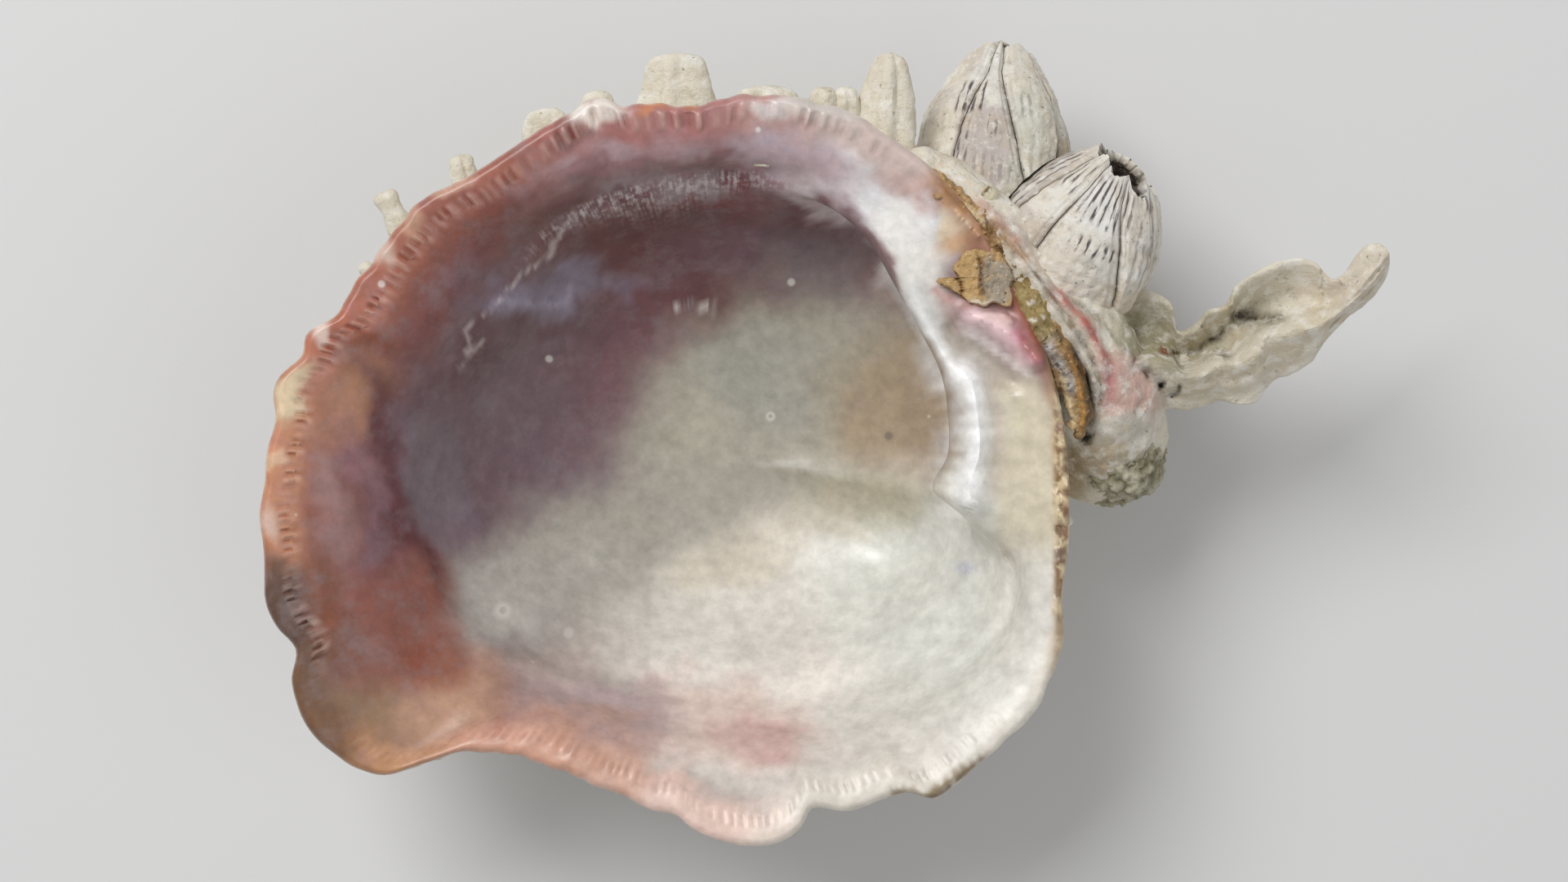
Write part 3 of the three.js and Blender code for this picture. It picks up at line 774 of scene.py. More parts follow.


# Colour patches and lines on the glazed inside, lowest first: mostly the shell's own stains, with painted
# highlights, painted sheen and painted shade among them.
CAVITY_STAINS_AND_LIGHT = (
    Stain((-30.0, 10.0), (16.0, 30.0), "#955A49", 25.0, 1.0, 0.5),
    Stain((2.0, 36.0), (26.0, 8.0), "#A78183", 0.0, 1.0, 0.4),
    Stain((18.0, 34.5), (15.0, 8.0), "#C8B8C2", -25.0, 1.0, 0.45),
    Stain((-23.0, 22.0), (14.0, 6.0), "#814337", 45.0, 0.9, 0.5),
    Stain((-34.2, 6.0), (3.6, 9.0), "#AC7C64", 10.0, 0.9, 0.5),
    Stain((-31.5, 11.0), (3.0, 3.4), "#A77657", 10.0, 0.8, 0.5),
    Stain((-32.0, -4.0), (4.5, 9.0), "#895C5B", 5.0, 0.9, 0.45),
    # painted highlight: a pale streak on the shelf by the left rim
    Stain((-34.8, -2.0), (1.9, 6.0), "#9E7975", 8.0, 0.8, 0.5),
    Stain((-31.2, 1.4), (1.4, 3.0), "#996F74", 5.0, 0.75, 0.5),
    Stain((-30.6, -4.6), (1.2, 4.0), "#81606D", 5.0, 0.7, 0.6),
    Stain((-7.0, 6.0), (21.0, 22.5), "#725961", -35.0, 1.0, 0.16),
    Stain((5.0, 24.0), (17.5, 8.8), "#6B4144", -6.0, 1.0, 0.22),
    Stain((-28.6, 0.0), (1.9, 14.0), "#63333B", 12.0, 0.9, 0.5),
    Stain((-24.6, -1.0), (2.6, 9.0), "#715F6C", 10.0, 0.7, 0.6),
    Stain((-22.4, 12.4), (7.0, 2.0), "#62383B", 52.0, 0.75, 0.5),
    Stain((0.0, 26.4), (15.0, 3.6), "#603236", -3.0, 0.7, 0.5),
    Stain((6.0, 29.4), (12.0, 1.6), "#7C3A43", -8.0, 0.6, 0.6),
    Stain((16.0, 23.4), (8.0, 3.4), "#6F6067", -40.0, 0.8, 0.5),
    Stain((10.0, 24.0), (9.0, 3.0), "#725766", -8.0, 0.6, 0.6),
    Stain((-18.0, 6.0), (10.0, 8.0), "#76616B", 20.0, 0.6, 0.6),
    # painted sheen: the blue-grey streak along the fold in the bowl
    Stain((-11.5, 20.2), (8.5, 2.0), "#8C8397", 10.0, 0.85, 0.6),
    Stain((-9.0, 17.0), (10.0, 1.0), "#65434D", 9.0, 0.6, 0.6),
    Stain((-5.0, 11.5), (5.0, 8.0), "#7C4C50", -35.0, 0.6, 0.6),
    Stain((14.0, 4.0), (19.0, 17.0), "#ADA898", 24.0, 1.0, 0.3),
    Stain((-5.0, -8.0), (17.0, 8.5), "#A7A196", 24.0, 1.0, 0.45),
    Stain((-17.0, -14.0), (7.0, 6.0), "#9C8F8C", 20.0, 0.9, 0.5),
    Stain((20.0, -20.6), (30.0, 15.0), "#DDD8CF", 4.0, 1.0, 0.3),
    Stain((30.0, -10.0), (13.0, 14.0), "#DBDBD2", 0.0, 1.0, 0.4),
    Stain((8.0, -9.0), (9.0, 3.4), "#D0C7B4", 20.0, 0.8, 0.5),
    Stain((10.0, -21.5), (9.0, 2.6), "#F1E8DE", 5.0, 0.7, 0.6),
    Stain((25.5, 8.0), (7.0, 8.5), "#A69379", 0.0, 0.95, 0.5),
    # painted shade: tan-brown under the overhanging hinge plate
    Stain((28.0, 7.0), (2.2, 7.0), "#A08A70", 0.0, 0.6, 0.5),
    Stain((21.0, -3.0), (7.0, 3.0), "#B0A885", 10.0, 0.6, 0.5),
    Stain((9.0, 12.0), (6.0, 6.0), "#9C9C96", 0.0, 0.6, 0.6),
    Stain((5.0, -26.0), (11.0, 4.5), "#DEC7BC", -8.0, 0.9, 0.5),
    Stain((10.0, -27.6), (4.0, 2.0), "#C79F9A", 0.0, 0.7, 0.6),
    Stain((-7.0, -24.0), (8.0, 3.4), "#B9A2A2", -10.0, 0.85, 0.5),
    Stain((-14.0, -27.6), (11.0, 3.0), "#C69C8C", -2.0, 0.9, 0.5),
    Stain((-25.0, -24.0), (7.5, 5.0), "#BE957A", 10.0, 0.9, 0.5),
    Stain((-33.0, -25.0), (5.5, 6.0), "#8E7056", 30.0, 0.95, 0.5),
    Stain((-36.5, -14.0), (4.0, 6.0), "#774530", 10.0, 0.9, 0.5),
    Stain((-29.0, -17.0), (5.0, 5.0), "#8A5041", 20.0, 0.7, 0.5),
    Stain((23.5, 30.0), (9.0, 3.8), "#E4E2E3", -48.0, 1.0, 0.35),
    Stain((26.2, 23.0), (2.4, 6.0), "#EAE7E1", 22.0, 0.9, 0.35),
    Stain((27.6, 17.0), (1.6, 5.0), "#D5D4D0", 20.0, 1.0, 0.35),
    # painted shade: grey-brown under the hinge tooth, where its groove lies
    Stain((31.6, 13.6), (3.4, 2.2), "#BAB3A7", -38.0, 0.9, 0.5),
    Stain((36.2, 7.0), (3.6, 5.0), "#D0C8B5", 0.0, 0.95, 0.4),
    Stain((38.0, 0.0), (3.8, 10.0), "#D1C7AF", 0.0, 0.95, 0.35),
    Stain((38.5, -16.0), (4.0, 9.0), "#DEDAD1", 10.0, 0.9, 0.4),
    Stroke([(29.4, 12.6), (31.4, 10.6), (32.4, 7.0), (32.4, 3.0), (31.8, -1.0), (30.8, -4.0)], 1.9,
           "#EFEEEA"),
    Stroke([(34.4, 9.4), (35.0, 6.0), (34.8, 2.0), (34.4, -2.0)], 0.5, "#D7C6B8", 0.6),
    Stroke([(28.4, 13.0), (30.0, 9.6), (30.4, 6.0), (29.4, 3.6), (28.6, 1.0)], 0.4, "#C7C2C4", 0.5),
    # painted shade along the groove below the hinge tooth
    Stroke([(29.6, 17.0), (31.6, 15.0), (34.2, 13.0), (37.4, 10.6)], 0.8, "#9E9388", 0.75),
    Stroke([(30.6, 17.6), (33.4, 16.6), (36.2, 14.8), (38.8, 12.0)], 1.2, "#ECCCCF"),
    Stroke([(36.0, 16.0), (37.4, 14.8), (38.8, 13.2), (39.2, 12.2)], 0.75, "#D591A4", 0.95),
    Stroke([(31.0, 16.4), (34.5, 13.9), (38.4, 11.0)], 0.4, "#F1E5E3", 0.9),
    Stain((34.3, 16.9), (1.8, 0.6), "#F5D4D2", -12.0, 0.95, 0.15),
    Stroke([(38.0, 16.2), (39.0, 14.8), (39.9, 12.6)], 0.28, "#A55038", 0.9),
    Stroke([(28.2, 20.2), (30.0, 18.9), (32.0, 18.1)], 0.5, "#C09690", 0.9),
    Stain((30.4, 26.6), (1.6, 3.4), "#DABF9E", -32.0, 0.75, 0.5),
    Stain((30.4, 24.6), (1.8, 0.9), "#C49E78", -8.0, 0.8, 0.5),
    Stroke([(28.4, 30.4), (28.9, 27.6), (28.7, 25.0)], 0.5, "#E6D2A8", 0.6),
    Stain((32.0, -9.6), (1.0, 0.7), "#A4A9C1", 0.0, 0.5, 0.6),
    Stain((-15.0, -11.5), (8.0, 4.6), "#B9B5AD", 22.0, 0.75, 0.6),
    Stain((-24.6, -2.0), (2.6, 8.0), "#7F717B", 10.0, 0.7, 0.6),
    Stain((15.0, -4.6), (9.0, 2.6), "#B3A998", 8.0, 0.6, 0.6),
    Stain((16.4, 31.4), (5.0, 2.2), "#DCD2D4", -30.0, 0.8, 0.5),
    Stain((-25.0, -19.6), (3.6, 2.4), "#884534", 20.0, 0.7, 0.6),
    # painted highlights: pure white along the hinge plate's ridge and along its lip
    Stroke([(31.0, 12.4), (32.2, 9.6), (32.8, 6.0), (32.6, 2.0), (31.8, -1.6)], 0.9, "#FFFFFF", 0.9, 0.2),
    Stroke([(26.4, 19.8), (27.8, 15.8), (29.4, 12.2), (30.8, 9.8)], 0.6, "#FAF9F7", 0.8, 0.2),
    # painted sheen along the same fold in the bowl
    Stroke([(-20.6, 18.2), (-17.0, 19.4), (-12.0, 19.8), (-7.0, 19.4)], 0.5, "#A9A2B6", 0.6, 0.3),
    Stroke([(-19.0, 30.6), (-9.0, 34.2), (2.0, 35.2), (12.0, 34.4), (20.0, 31.2)], 1.9, "#B79DA2", 0.75, 0.1),
    Stroke([(-7.0, 30.4), (-3.0, 31.2), (1.0, 31.4), (5.0, 31.2)], 1.1, "#A79EA3", 0.6, 0.5),
    Stroke([(-23.4, 12.0), (-20.6, 15.0), (-18.4, 18.6), (-16.4, 22.2), (-13.0, 25.6), (-9.4, 28.2)], 0.22,
           "#C9BDBA", 0.7, 0.25),
    Stroke([(-1.4, 18.0), (0.2, 18.9), (1.6, 18.9), (2.6, 19.8), (3.6, 19.2)], 0.24, "#CFC7C0", 0.85, 0.9),
    Stroke([(-14.0, 32.2), (-4.0, 33.2), (6.0, 32.8), (14.0, 31.4)], 0.5, "#854E56", 0.5, 0.1),
)
BELT_STAINS = (
    Stain((-41.0, 4.0), (8.0, 16.0), "#BF8564", 0.0, 1.0, 0.5),
    Stain((-32.0, 20.0), (12.0, 8.0), "#AE6A54", 50.0, 0.9, 0.5),
    Stain((-20.0, 31.0), (10.0, 6.0), "#9C6153", 30.0, 0.9, 0.5),
    Stain((2.0, 38.0), (16.0, 6.0), "#AC7571", 0.0, 1.0, 0.5),
    Stain((14.0, 38.0), (8.0, 5.0), "#C59F99", -10.0, 0.9, 0.5),
    Stain((22.0, 36.0), (9.0, 5.0), "#D2BEB7", -30.0, 1.0, 0.5),
    Stain((20.0, -30.0), (34.0, 16.0), "#E0D9CD", 20.0, 1.0, 0.35),
    Stain((0.0, -34.0), (11.0, 6.0), "#E1C3B7", -10.0, 0.95, 0.5),
    Stain((-14.0, -29.0), (14.0, 4.0), "#CE9E88", -3.0, 0.95, 0.5),
    Stain((-30.0, -29.0), (7.0, 4.0), "#BD8E66", 0.0, 0.9, 0.5),
    Stain((-37.0, -23.0), (6.0, 7.0), "#77573F", 20.0, 0.95, 0.5),
    Stain((-40.5, -13.5), (3.6, 5.0), "#5D4538", 0.0, 0.95, 0.5),
    Stain((42.0, 0.0), (2.4, 24.0), "#C4AA82", 0.0, 0.9, 0.4),
    Stain((32.0, 28.4), (5.0, 3.0), "#B58A5E", -50.0, 0.9, 0.4),
    Stroke([(28.0, 31.6), (31.0, 28.6), (33.0, 26.6), (35.0, 24.4)], 0.35, "#86592F", 0.7),
    Stroke([(41.4, 8.6), (41.7, 5.0), (42.0, 1.0), (41.9, -4.0), (41.4, -10.0)], 0.3, "#8F6C44", 0.6),
)
RIB_ENDS = (
    Stain((-7.4, 39.0), (3.8, 2.2), "#E8DFD6", 10.0, 1.0, 0.4),
    Stain((11.6, 39.6), (3.0, 1.4), "#E6DDDA", -8.0, 0.9, 0.5),
    Stain((17.0, 38.4), (4.0, 1.6), "#D6CDC6", -16.0, 0.9, 0.4),
    Stain((-0.6, 39.6), (1.8, 0.9), "#C98661", 0.0, 0.95, 0.4),
    Stain((-22.0, 31.4), (1.8, 1.6), "#CBA28E", 20.0, 0.8, 0.4),
    Stain((-27.6, 27.2), (2.0, 1.8), "#C69F86", 40.0, 0.7, 0.4),
    Stain((-30.2, 23.4), (1.6, 2.0), "#D8C2B2", 40.0, 0.8, 0.4),
    Stain((-35.8, 16.0), (2.4, 1.4), "#E0CABF", 30.0, 0.85, 0.4),
    Stain((-39.8, 9.0), (1.5, 3.4), "#DCC7A6", -6.0, 0.95, 0.4),
    Stain((-41.4, 1.6), (1.1, 1.2), "#D6B396", 0.0, 0.8, 0.4),
    Stain((-41.2, -3.8), (1.3, 1.9), "#E2C8BC", 0.0, 0.7, 0.8),
    Stain((-11.4, 36.6), (2.2, 1.6), "#7F443C", 20.0, 0.6, 0.4),
    Stroke([(23.6, -33.0), (27.6, -32.4), (31.0, -30.6), (33.6, -28.8)], 0.7, "#8C7650", 0.9, 0.8),
    Stroke([(25.0, -33.2), (28.4, -32.6), (31.6, -30.8)], 0.25, "#5E4B30", 0.8, 0.8),
)
SPOTS = (
    Spot((23.8, 4.8), 0.5, "#776B5E"), Spot((-13.3, 13.2), 0.42, "#D9D4CC"),
    Spot((13.1, 21.7), 0.45, "#D9D4CC"),
    Spot((10.8, 7.0), 0.55, "#D6D2C6", 0.26), Spot((-18.0, -14.0), 0.95, "#CFCBC2", 0.4),
    Spot((-11.0, -16.5), 0.6, "#C9C4BC"), Spot((-29.6, 20.6), 0.4, "#EFE3DB"),
    Spot((9.6, 36.7), 0.3, "#F2ECE8"),
)
# Colour patches and lines on the outside, lowest first: the shell's own stains, and dark lines and dots laid
# in carved grooves, crevices and pits as painted shade.
OUTSIDE_STAINS_AND_SHADE = (
    Stain((57.0, 15.0), (9.0, 5.4), "#C6BFA8", 20.0, 0.9, 0.4),
    Stain((50.5, 15.6), (3.4, 3.0), "#B5AE92", 0.0, 0.95, 0.5),
    Stain((54.6, 13.8), (4.2, 1.6), "#A79C7C", 0.0, 0.8, 0.5),
    Stain((72.0, 21.0), (5.0, 3.4), "#DDD0BC", 40.0, 0.8, 0.5),
    Stroke([(54.0, 9.6), (58.0, 10.4), (62.0, 12.4), (66.0, 14.6), (70.0, 18.0)], 1.6, "#DBCDB2", 0.8),
    Stroke([(55.0, 11.8), (60.0, 13.0), (64.4, 15.8), (69.0, 19.4)], 0.9, "#E3DBC8", 0.7),
    # painted shade: dark lines along the frond's carved crevice and grooves
    Stroke([(59.4, 17.4), (61.4, 17.8), (63.6, 17.2), (65.6, 17.4)], 0.55, "#5F543C", 0.9),
    Stroke([(59.4, 16.6), (59.0, 15.4), (57.8, 15.0)], 0.3, "#6E6248", 0.9),
    Stroke([(58.6, 14.0), (59.2, 13.4), (60.0, 13.6)], 0.35, "#6B5F45", 0.85),
    Stroke([(53.0, 13.8), (55.0, 13.8), (56.6, 13.8), (57.8, 14.8)], 0.22, "#7C6844", 0.8),
    Stain((52.8, 13.9), (0.6, 0.5), "#8A4F2C", 0.0, 0.95, 0.4),
    Stain((47.8, 9.6), (5.0, 3.6), "#D8B4A8", -38.0, 0.9, 0.35),
    Stain((48.4, 5.6), (3.8, 1.7), "#DCD6C8", 8.0, 0.95, 0.4),
    Stain((46.6, 1.6), (6.0, 2.6), "#B3AB92", 0.0, 0.85, 0.5),
    Stain((43.0, 0.0), (1.6, 3.4), "#C8B08A", 0.0, 0.7, 0.5),
    Stroke([(33.0, 27.6), (35.8, 24.6), (38.4, 21.6), (41.0, 17.6), (43.2, 14.6), (44.8, 11.0), (45.0, 7.6)],
           0.8, "#DDD5C3"),
    Stroke([(31.4, 29.0), (33.6, 28.3), (36.6, 26.6), (38.4, 23.2), (40.0, 20.4), (42.4, 18.2), (44.6, 15.6)],
           0.7, "#DFD2C6", 0.9),
    Stroke([(34.2, 26.9), (35.4, 26.4)], 0.45, "#9A6660", 0.8),
    # painted shade along the carved groove between the umbo's ridges
    Stroke([(36.4, 25.4), (38.2, 22.6), (39.8, 19.8), (42.2, 16.8), (44.4, 13.4), (45.7, 9.6), (45.4, 6.8)],
           0.22, "#6D5B46", 0.85),
    Stroke([(40.2, 20.3), (42.0, 18.7), (43.5, 17.1), (44.8, 15.3), (45.6, 13.8), (46.3, 12.0), (46.6, 8.6)],
           0.55, "#C98076", 0.95),
    Stroke([(43.2, 17.4), (44.4, 15.8), (45.3, 14.4)], 0.3, "#B95F54", 0.8),
    Stroke([(46.3, 12.0), (46.7, 9.8), (46.9, 7.6)], 0.6, "#CF9A98", 0.8),
    # painted shadow: grey along the boundary line beside the barnacle and the frond
    Stroke([(41.4, 19.6), (43.6, 18.4), (45.8, 16.8), (47.6, 14.4), (50.0, 12.5), (52.0, 11.1)],
           0.3, "#8F8878", 0.7),
    # painted shade: near-black in the carved crack and pits
    Stroke([(49.8, 12.2), (50.8, 11.2), (51.4, 10.6)], 0.14, "#40382C", 0.8),
    Stain((52.4, 10.3), (0.5, 0.4), "#3B3122", 0.0, 0.95, 0.3),
    Stain((54.0, 9.3), (0.7, 0.35), "#4A4030", 30.0, 0.9, 0.3),
    Stain((54.4, 10.1), (0.3, 0.25), "#4A4030", 0.0, 0.9, 0.3),
    Stroke([(42.2, 13.8), (43.1, 12.2), (43.9, 10.8), (44.4, 9.0), (44.3, 7.0), (44.0, 5.6)], 0.5, "#4A3B24"),
    # painted shade: near-black in the deep carved pit
    Stain((44.2, 4.8), (0.7, 0.6), "#33271A", 30.0, 1.0, 0.3),
    Stroke([(31.6, 29.6), (34.0, 27.0), (36.4, 24.4), (38.0, 22.2)], 0.9, "#CBA582", 0.75, 0.6),
    Stroke([(32.4, 29.8), (35.0, 27.2), (37.4, 24.6)], 0.4, "#D8B3A4", 0.7, 0.7),
    Stroke([(33.0, 27.6), (34.8, 25.6), (36.8, 23.2)], 0.2, "#7B5936", 0.8, 0.8),
)


@dataclass(frozen=True)
class PorcelainShell:
    """Calcite shell: glazed like porcelain inside, chalky and worn outside.

    The glaze gives tight, soft-edged highlights over cloudy colour, and painted highlights, sheen and shade
    lie in its colour. The outside scatters light like unglazed clay; its grooves, crevices and pits hold
    painted shade.
    """

    name: str = "calcite_shell_glazed_inside"
    glaze_roughness: float = 0.3
    chalk_roughness: float = 0.82
    cloud_size: float = 7.0
    weathering: tuple[Patch, ...] = (
        Patch(7.0, "#C9B288", (0.54, 0.72), 0.45),
        Patch(14.0, "#D2B0A0", (0.58, 0.74), 0.3, 4.0),
        Patch(3.0, "#988663", (0.58, 0.74), 0.5, 6.0),
        Patch(1.6, "#FBF8F0", (0.48, 0.64), 0.65, 7.0),
        Patch(0.7, "#6A5A40", (0.63, 0.72), 0.7, 5.0),
    )

    def material(self) -> bpy.types.Material:
        """The finish as a material.

        Returns:
            The material.
        """
        material = bpy.data.materials.new(self.name)
        material.use_nodes = True
        tree = material.node_tree
        shader = tree.nodes["Principled BSDF"]
        place = add(tree, "TexCoord").outputs["Object"]
        tint = add(tree, "Attribute", attribute_name="tint").outputs["Color"]
        cavity = self.cavity(tree, place, tint)
        outside = tint
        for patch in self.weathering:
            outside = patch.over(tree, place, outside)
        inside = add(tree, "Attribute", attribute_name="inside").outputs["Fac"]
        tree.links.new(laid_over(tree, inside, outside, cavity), shader.inputs["Base Color"])
        bloom = add(tree, "TexNoise", {"Vector": place, "Scale": 260.0, "Detail": 4.0})
        glaze = add(tree, "MapRange", {
            "Value": bloom.outputs["Fac"], "From Min": 0.3, "From Max": 0.75,
            "To Min": self.glaze_roughness - 0.05, "To Max": self.glaze_roughness + 0.16,
        })
        rough = add(tree, "Mix", {0: inside, 2: self.chalk_roughness, 3: glaze.outputs["Result"]})
        tree.links.new(rough.outputs[0], shader.inputs["Roughness"])
        tree.links.new(self.relief(tree, place, inside), shader.inputs["Normal"])
        return material

    def tint(self, piece: bpy.types.Object) -> None:
        """Lays the broad clouds of colour on the mesh, as the shell's layers grew, with the painted
        highlights, sheen and shade that the lists carry.

        Args:
            piece: The valve, with its measuring attributes.
        """
        points = read_points(piece) / MM
        drift = np.stack([grain(points, self.cloud_size, 4, 21.0), grain(points, self.cloud_size, 4, 31.0),
                          np.zeros(len(points))], 1)
        steady = smooth((points[:, 0] - 24.0) / 6.0)[:, None]
        bent = points + drift * mix(2.6, 0.35, steady)
        inside, margin, arc = fetch(piece, "inside"), fetch(piece, "margin"), fetch(piece, "crenulated")
        cavity = stained(bent, "#8A6A66", CAVITY_STAINS_AND_LIGHT)
        belt = stained(bent, "#A3604E", BELT_STAINS)
        reach = mix(5.4, 2.6, smooth((points[:, 0] - 22.0) / 12.0))
        fade = smooth((reach - margin - grain(points, 3.0, 3, 41.0) * 1.2) / 2.6)
        colour = mix(cavity, belt, fade[:, None])
        furrow = np.exp(-(((margin - 5.1) / 0.8) ** 2)) * smooth(arc) * 0.5
        colour = mix(colour, np.array(linear("#8C5540")), furrow[:, None])
        edge = smooth((points[:, 0] - 40.2) / 0.8) * smooth((13.6 - points[:, 1]) / 2.0)
        edge = edge * smooth((points[:, 1] + 22.0) / 12.0)
        flakes = smooth(0.5 + 1.6 * grain(points, 1.3, 4, 51.0))[:, None]
        flaked = mix(np.array(linear("#7C5B36")), np.array(linear("#D9C6A2")), flakes)
        colour = mix(colour, flaked, 0.85 * edge[:, None])
        colour = stained(bent, colour, RIB_ENDS)
        outside = stained(bent, "#EAE2D0", OUTSIDE_STAINS_AND_SHADE)
        low = smooth((22.0 - points[:, 2]) / 8.0)[:, None]
        outside = mix(outside, np.array(linear("#D2C6AC")), low * 0.8)
        store_colour(piece, "tint", mix(outside, colour, inside[:, None]))

    def cavity(self, tree: bpy.types.NodeTree, place: bpy.types.NodeSocket,
               colour: bpy.types.NodeSocket) -> bpy.types.NodeSocket:
        """Adds the glazed inside's fine marks: comb teeth, pale on their crests with painted glints and
        painted shade in their grooves, pallial frost, streaks and flecks.

        Args:
            tree: The material's tree.
            place: Position on the shell.
            colour: The painted colour beneath.

        Returns:
            The marked colour.
        """
        margin = add(tree, "Attribute", attribute_name="margin").outputs["Fac"]
        arc = add(tree, "Attribute", attribute_name="rim_arc").outputs["Fac"]
        frost = add(tree, "Attribute", attribute_name="frost").outputs["Fac"]
        teeth = add(tree, "Attribute", attribute_name="teeth").outputs["Fac"]
        belt = add(tree, "Attribute", attribute_name="belt").outputs["Fac"]
        # the comb: the pale on the teeth's crests is partly their own tone and partly painted glints, and the
        # dark in their grooves is painted shade
        tooth = add(tree, "MapRange", {"Value": teeth, "From Min": 0.2, "From Max": 0.9})
        pale = laid_over(tree, 0.42, colour, linear("#EBCFC2"))
        groove_shade = laid_over(tree, 0.42, colour, linear("#7E4034"))
        comb = laid_over(tree, tooth.outputs["Result"], groove_shade, pale)
        streak_at = add(tree, "CombineXYZ", {"X": arc, "Y": margin})
        drawn = add(tree, "Mapping", {"Vector": streak_at.outputs[0], "Scale": (2.3, 0.4, 1.0)})
        streaks = add(tree, "TexNoise", {"Vector": drawn.outputs[0], "Scale": 1.0, "Detail": 5.0})
        worn = add(tree, "MapRange", {
            "Value": streaks.outputs["Fac"], "From Min": 0.3, "From Max": 0.6, "To Min": 0.25, "To Max": 1.0,
        })
        comb_share = add(tree, "Math", {0: belt, 1: worn.outputs["Result"]}, operation="MULTIPLY")
        colour = laid_over(tree, comb_share.outputs[0], colour, comb)
        speck = add(tree, "TexNoise", {"Vector": place, "Scale": 1500.0, "Detail": 3.0})
        both = add(tree, "Math", {0: streaks.outputs["Fac"], 1: speck.outputs["Fac"]}, operation="MULTIPLY")
        rime = add(tree, "MapRange", {"Value": both.outputs[0], "From Min": 0.21, "From Max": 0.37})
        rimed = add(tree, "Math", {0: rime.outputs["Result"], 1: frost}, operation="MULTIPLY", use_clamp=True)
        colour = laid_over(tree, rimed.outputs[0], colour, linear("#D2CBCA"))
        for size, detail, low, high in ((1.6, 7.0, 0.84, 1.16), (11.0, 3.0, 0.92, 1.08)):
            cloud = add(tree, "TexNoise", {
                "Vector": place, "Scale": 1.0 / (size * MM), "Detail": detail, "Roughness": 0.65,
            })
            shade = add(tree, "MapRange", {
                "Value": cloud.outputs["Fac"], "From Min": 0.3, "From Max": 0.7, "To Min": low,
                "To Max": high,
            })
            colour = add(tree, "VectorMath", {0: colour, 1: shade.outputs["Result"]},
                         operation="MULTIPLY").outputs[0]
        mist = add(tree, "TexNoise", {
            "Vector": place, "Scale": 1.0 / (3.6 * MM), "Detail": 9.0, "Roughness": 0.72,
        })
        veil = add(tree, "MapRange", {
            "Value": mist.outputs["Fac"], "From Min": 0.48, "From Max": 0.68, "To Min": 0.0, "To Max": 0.4,
        })
        colour = laid_over(tree, veil.outputs["Result"], colour, linear("#8E8488"), "LIGHTEN")
        dots = add(tree, "TexVoronoi", {"Vector": place, "Scale": 210.0})
        dot = add(tree, "MapRange", {
            "Value": dots.outputs["Distance"], "From Min": 0.03, "From Max": 0.06, "To Min": 0.6,
            "To Max": 0.0,
        })
        rare = add(tree, "SeparateColor", {0: dots.outputs["Color"]})
        chosen = add(tree, "Math", {0: rare.outputs[0], 1: 0.88}, operation="GREATER_THAN")
        spot = add(tree, "Math", {0: dot.outputs["Result"], 1: chosen.outputs[0]}, operation="MULTIPLY")
        colour = laid_over(tree, spot.outputs[0], colour, linear("#D0C8BE"))
        for fleck in SPOTS:
            colour = fleck.over(tree, place, colour)
        return colour

    def relief(self, tree: bpy.types.NodeTree, place: bpy.types.NodeSocket,
               inside: bpy.types.NodeSocket) -> bpy.types.NodeSocket:
        """Fine surface: ripples under the glaze inside, pits and grit outside.

        Args:
            tree: The material's tree.
            place: Position on the shell.
            inside: How far each spot belongs to the glazed inside.

        Returns:
            The bumped normal.
        """
        ripple = add(tree, "TexNoise", {"Vector": place, "Scale": 330.0, "Detail": 3.0})
        grit = add(tree, "TexNoise", {"Vector": place, "Scale": 1100.0, "Detail": 7.0, "Roughness": 0.7})
        height = add(tree, "Mix", {0: inside, 2: grit.outputs["Fac"], 3: ripple.outputs["Fac"]})
        depth = add(tree, "Mix", {0: inside, 2: 0.9 * MM, 3: 0.16 * MM})
        return add(tree, "Bump", {
            "Height": height.outputs[0], "Distance": depth.outputs[0], "Strength": 0.6,
        }).outputs[0]


BARNACLE_WALL = Weathered(
    # chalk-dry calcite worn down to its tubes: matt white with grey pin-striping and dirty pores
    "barnacle_calcite_worn",
    (
        Patch(5.0, "#B9AEA8", (0.5, 0.72), 0.55),
        Patch(2.0, "#A79F94", (0.54, 0.7), 0.5, 6.0),
        Patch(0.9, "#F0ECE4", (0.52, 0.66), 0.6, 6.0),
        Patch(7.0, "#B8965E", (0.64, 0.76), 0.6, 4.0),
        Patch(0.5, "#6F675F", (0.63, 0.7), 0.6, 3.0),
    ),
    0.86, 0.8, 0.35, 0.16, "#5E564A", 0.0, True,
)
BARNACLE_BASE = Weathered(
    # the plate cemented to the shell: dull, dirty calcite
    "barnacle_basis_calcite",
    (Patch(2.0, "#A89C84", (0.5, 0.7), 0.7), Patch(0.8, "#E4DDCC", (0.54, 0.68), 0.6)),
    0.9, 0.9, 0.4, 0.2,
)
MOUTH_SHADE_PLUG = Weathered(
    # painted shade: a near-black brown plug standing for the dark of the barnacle's mouth, with dull amber
    # edges
    "barnacle_mouth_shade_plug",
    (Patch(1.6, "#6E5B41", (0.5, 0.68), 0.8), Patch(0.7, "#8A7A5C", (0.6, 0.72), 0.6)),
    0.6, 0.6, 0.3, 0.0, "#1F1813", 0.15,
)
HORNY_LIGAMENT = Weathered(
    # dried horny protein in thin layers: amber to brown, waxy where whole, matt where it flakes
    "ligament_conchiolin",
    (
        Patch(1.3, "#7A552A", (0.54, 0.68), 0.65, 6.0),
        Patch(0.6, "#E0C592", (0.56, 0.68), 0.6, 5.0),
        Patch(0.35, "#3F2C18", (0.63, 0.7), 0.7, 3.0),
    ),
    0.55, 0.5, 0.35, 0.0, "#3F2C18", 0.25,
)
